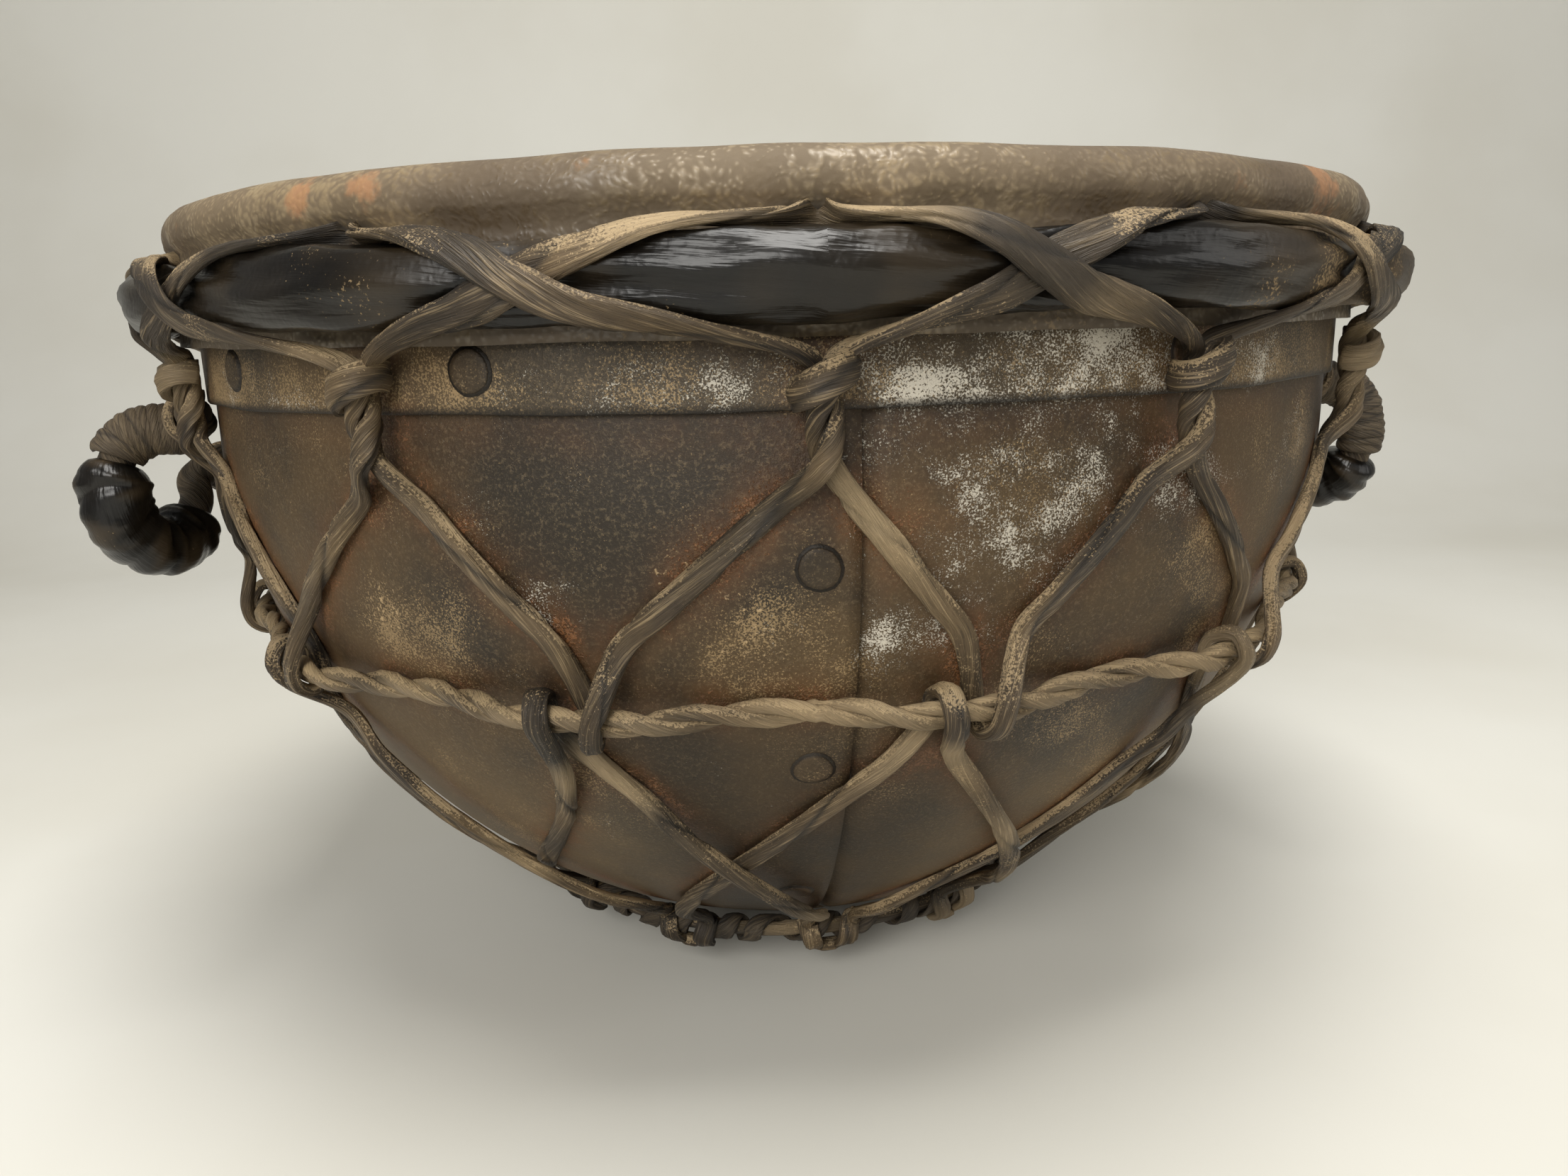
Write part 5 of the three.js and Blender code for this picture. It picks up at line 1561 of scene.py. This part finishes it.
class KETTLE_OT_stage(Operator):
    """Sets the pale floor and backdrop, the soft lights and the camera"""
    bl_idname = "kettle.stage"
    bl_label = "Stage"

    def execute(self, context):
        scene = context.scene
        self.make_floor()
        self.make_lights(scene)
        self.make_camera(scene)
        scene.view_settings.view_transform = "Standard"
        return {"FINISHED"}

    def make_floor(self):
        back, bend = 0.55, 0.5
        line = [(-2.2, 0.0), (back, 0.0)]
        for a in np.linspace(0.1, math.pi / 2, 14):
            line.append((back + bend * math.sin(a), bend - bend * math.cos(a)))
        line.append((back + bend, 2.6))
        points = [(x, y, z) for y, z in line for x in (-3.0, 3.0)]
        faces = [(2 * i, 2 * i + 1, 2 * i + 3, 2 * i + 2) for i in range(len(line) - 1)]
        mesh = bpy.data.meshes.new("floor_sweep")
        mesh.from_pydata(points, [], faces)
        mesh.polygons.foreach_set("use_smooth", [True] * len(faces))
        floor = bpy.data.objects.new("floor_sweep", mesh)
        floor.data.materials.append(floor_finish())
        bpy.context.scene.collection.objects.link(floor)

    def make_lights(self, scene):
        world = bpy.data.worlds.new("studio_air")
        world.use_nodes = True
        air = world.node_tree.nodes["Background"].inputs
        air["Color"].default_value = AIR_COLOUR
        air["Strength"].default_value = AIR_STRENGTH
        scene.world = world
        for name, place, aim, across, power in LAMPS:
            light = bpy.data.lights.new(name, "AREA")
            light.shape = "SQUARE"
            light.size = across
            light.energy = power
            light.color = LAMP_COLOUR
            lamp = bpy.data.objects.new(name, light)
            lamp.location = place
            lamp.rotation_euler = (Vector(aim) - Vector(place)).to_track_quat("-Z", "Y").to_euler()
            scene.collection.objects.link(lamp)

    def make_camera(self, scene):
        pitch, yaw, roll = (math.radians(a) for a in (CAMERA_PITCH, CAMERA_YAW, CAMERA_ROLL))
        ahead = Vector((math.sin(yaw) * math.cos(pitch), math.cos(yaw) * math.cos(pitch), -math.sin(pitch)))
        level = Vector((math.cos(yaw), -math.sin(yaw), 0))
        upright = level.cross(ahead)
        right = math.cos(roll) * level + math.sin(roll) * upright
        up = math.cos(roll) * upright - math.sin(roll) * level
        data = bpy.data.cameras.new("photo_camera")
        data.sensor_width = 36.0
        data.lens = CAMERA_LENS
        data.clip_start = 0.01
        camera = bpy.data.objects.new("photo_camera", data)
        turn = Matrix((right, up, -ahead)).transposed()
        camera.matrix_world = Matrix.Translation(CAMERA_PLACE) @ turn.to_4x4()
        scene.collection.objects.link(camera)
        scene.camera = camera


OPERATORS = (
    KETTLE_OT_bowl_plates,
    KETTLE_OT_bottom_dish,
    KETTLE_OT_collar,
    KETTLE_OT_rivets,
    KETTLE_OT_head,
    KETTLE_OT_rolled_edge,
    KETTLE_OT_belt,
    KETTLE_OT_upper_lacing,
    KETTLE_OT_lower_lacing,
    KETTLE_OT_base_ring,
    KETTLE_OT_carrying_loops,
    KETTLE_OT_stage,
)


class KETTLE_PT_sidebar(Panel):
    """Lists the drum's pieces in the order they are made"""
    bl_idname = "KETTLE_PT_sidebar"
    bl_label = "Kettle Drum"
    bl_space_type = "VIEW_3D"
    bl_region_type = "UI"
    bl_category = "Kettle Drum"

    def draw(self, context):
        for operator in OPERATORS:
            self.layout.operator(operator.bl_idname)
        for settings in (context.scene.kettle_sizes, context.scene.kettle_colours):
            box = self.layout.box()
            for key in settings.bl_rna.properties.keys():
                if key not in {"rna_type", "name"}:
                    box.prop(settings, key)


CLASSES = (KettleSizes, KettleColours, *OPERATORS, KETTLE_PT_sidebar)


def register():
    for cls in CLASSES:
        bpy.utils.register_class(cls)
    bpy.types.Scene.kettle_sizes = PointerProperty(type=KettleSizes)
    bpy.types.Scene.kettle_colours = PointerProperty(type=KettleColours)


def unregister():
    del bpy.types.Scene.kettle_colours
    del bpy.types.Scene.kettle_sizes
    for cls in reversed(CLASSES):
        bpy.utils.unregister_class(cls)


def main():
    register()
    bpy.ops.kettle.bowl_plates()
    bpy.ops.kettle.bottom_dish()
    bpy.ops.kettle.collar()
    bpy.ops.kettle.rivets()
    bpy.ops.kettle.head()
    bpy.ops.kettle.rolled_edge()
    bpy.ops.kettle.belt()
    bpy.ops.kettle.upper_lacing()
    bpy.ops.kettle.lower_lacing()
    bpy.ops.kettle.base_ring()
    bpy.ops.kettle.carrying_loops()
    bpy.ops.kettle.stage()


if __name__ == "__main__":
    main()
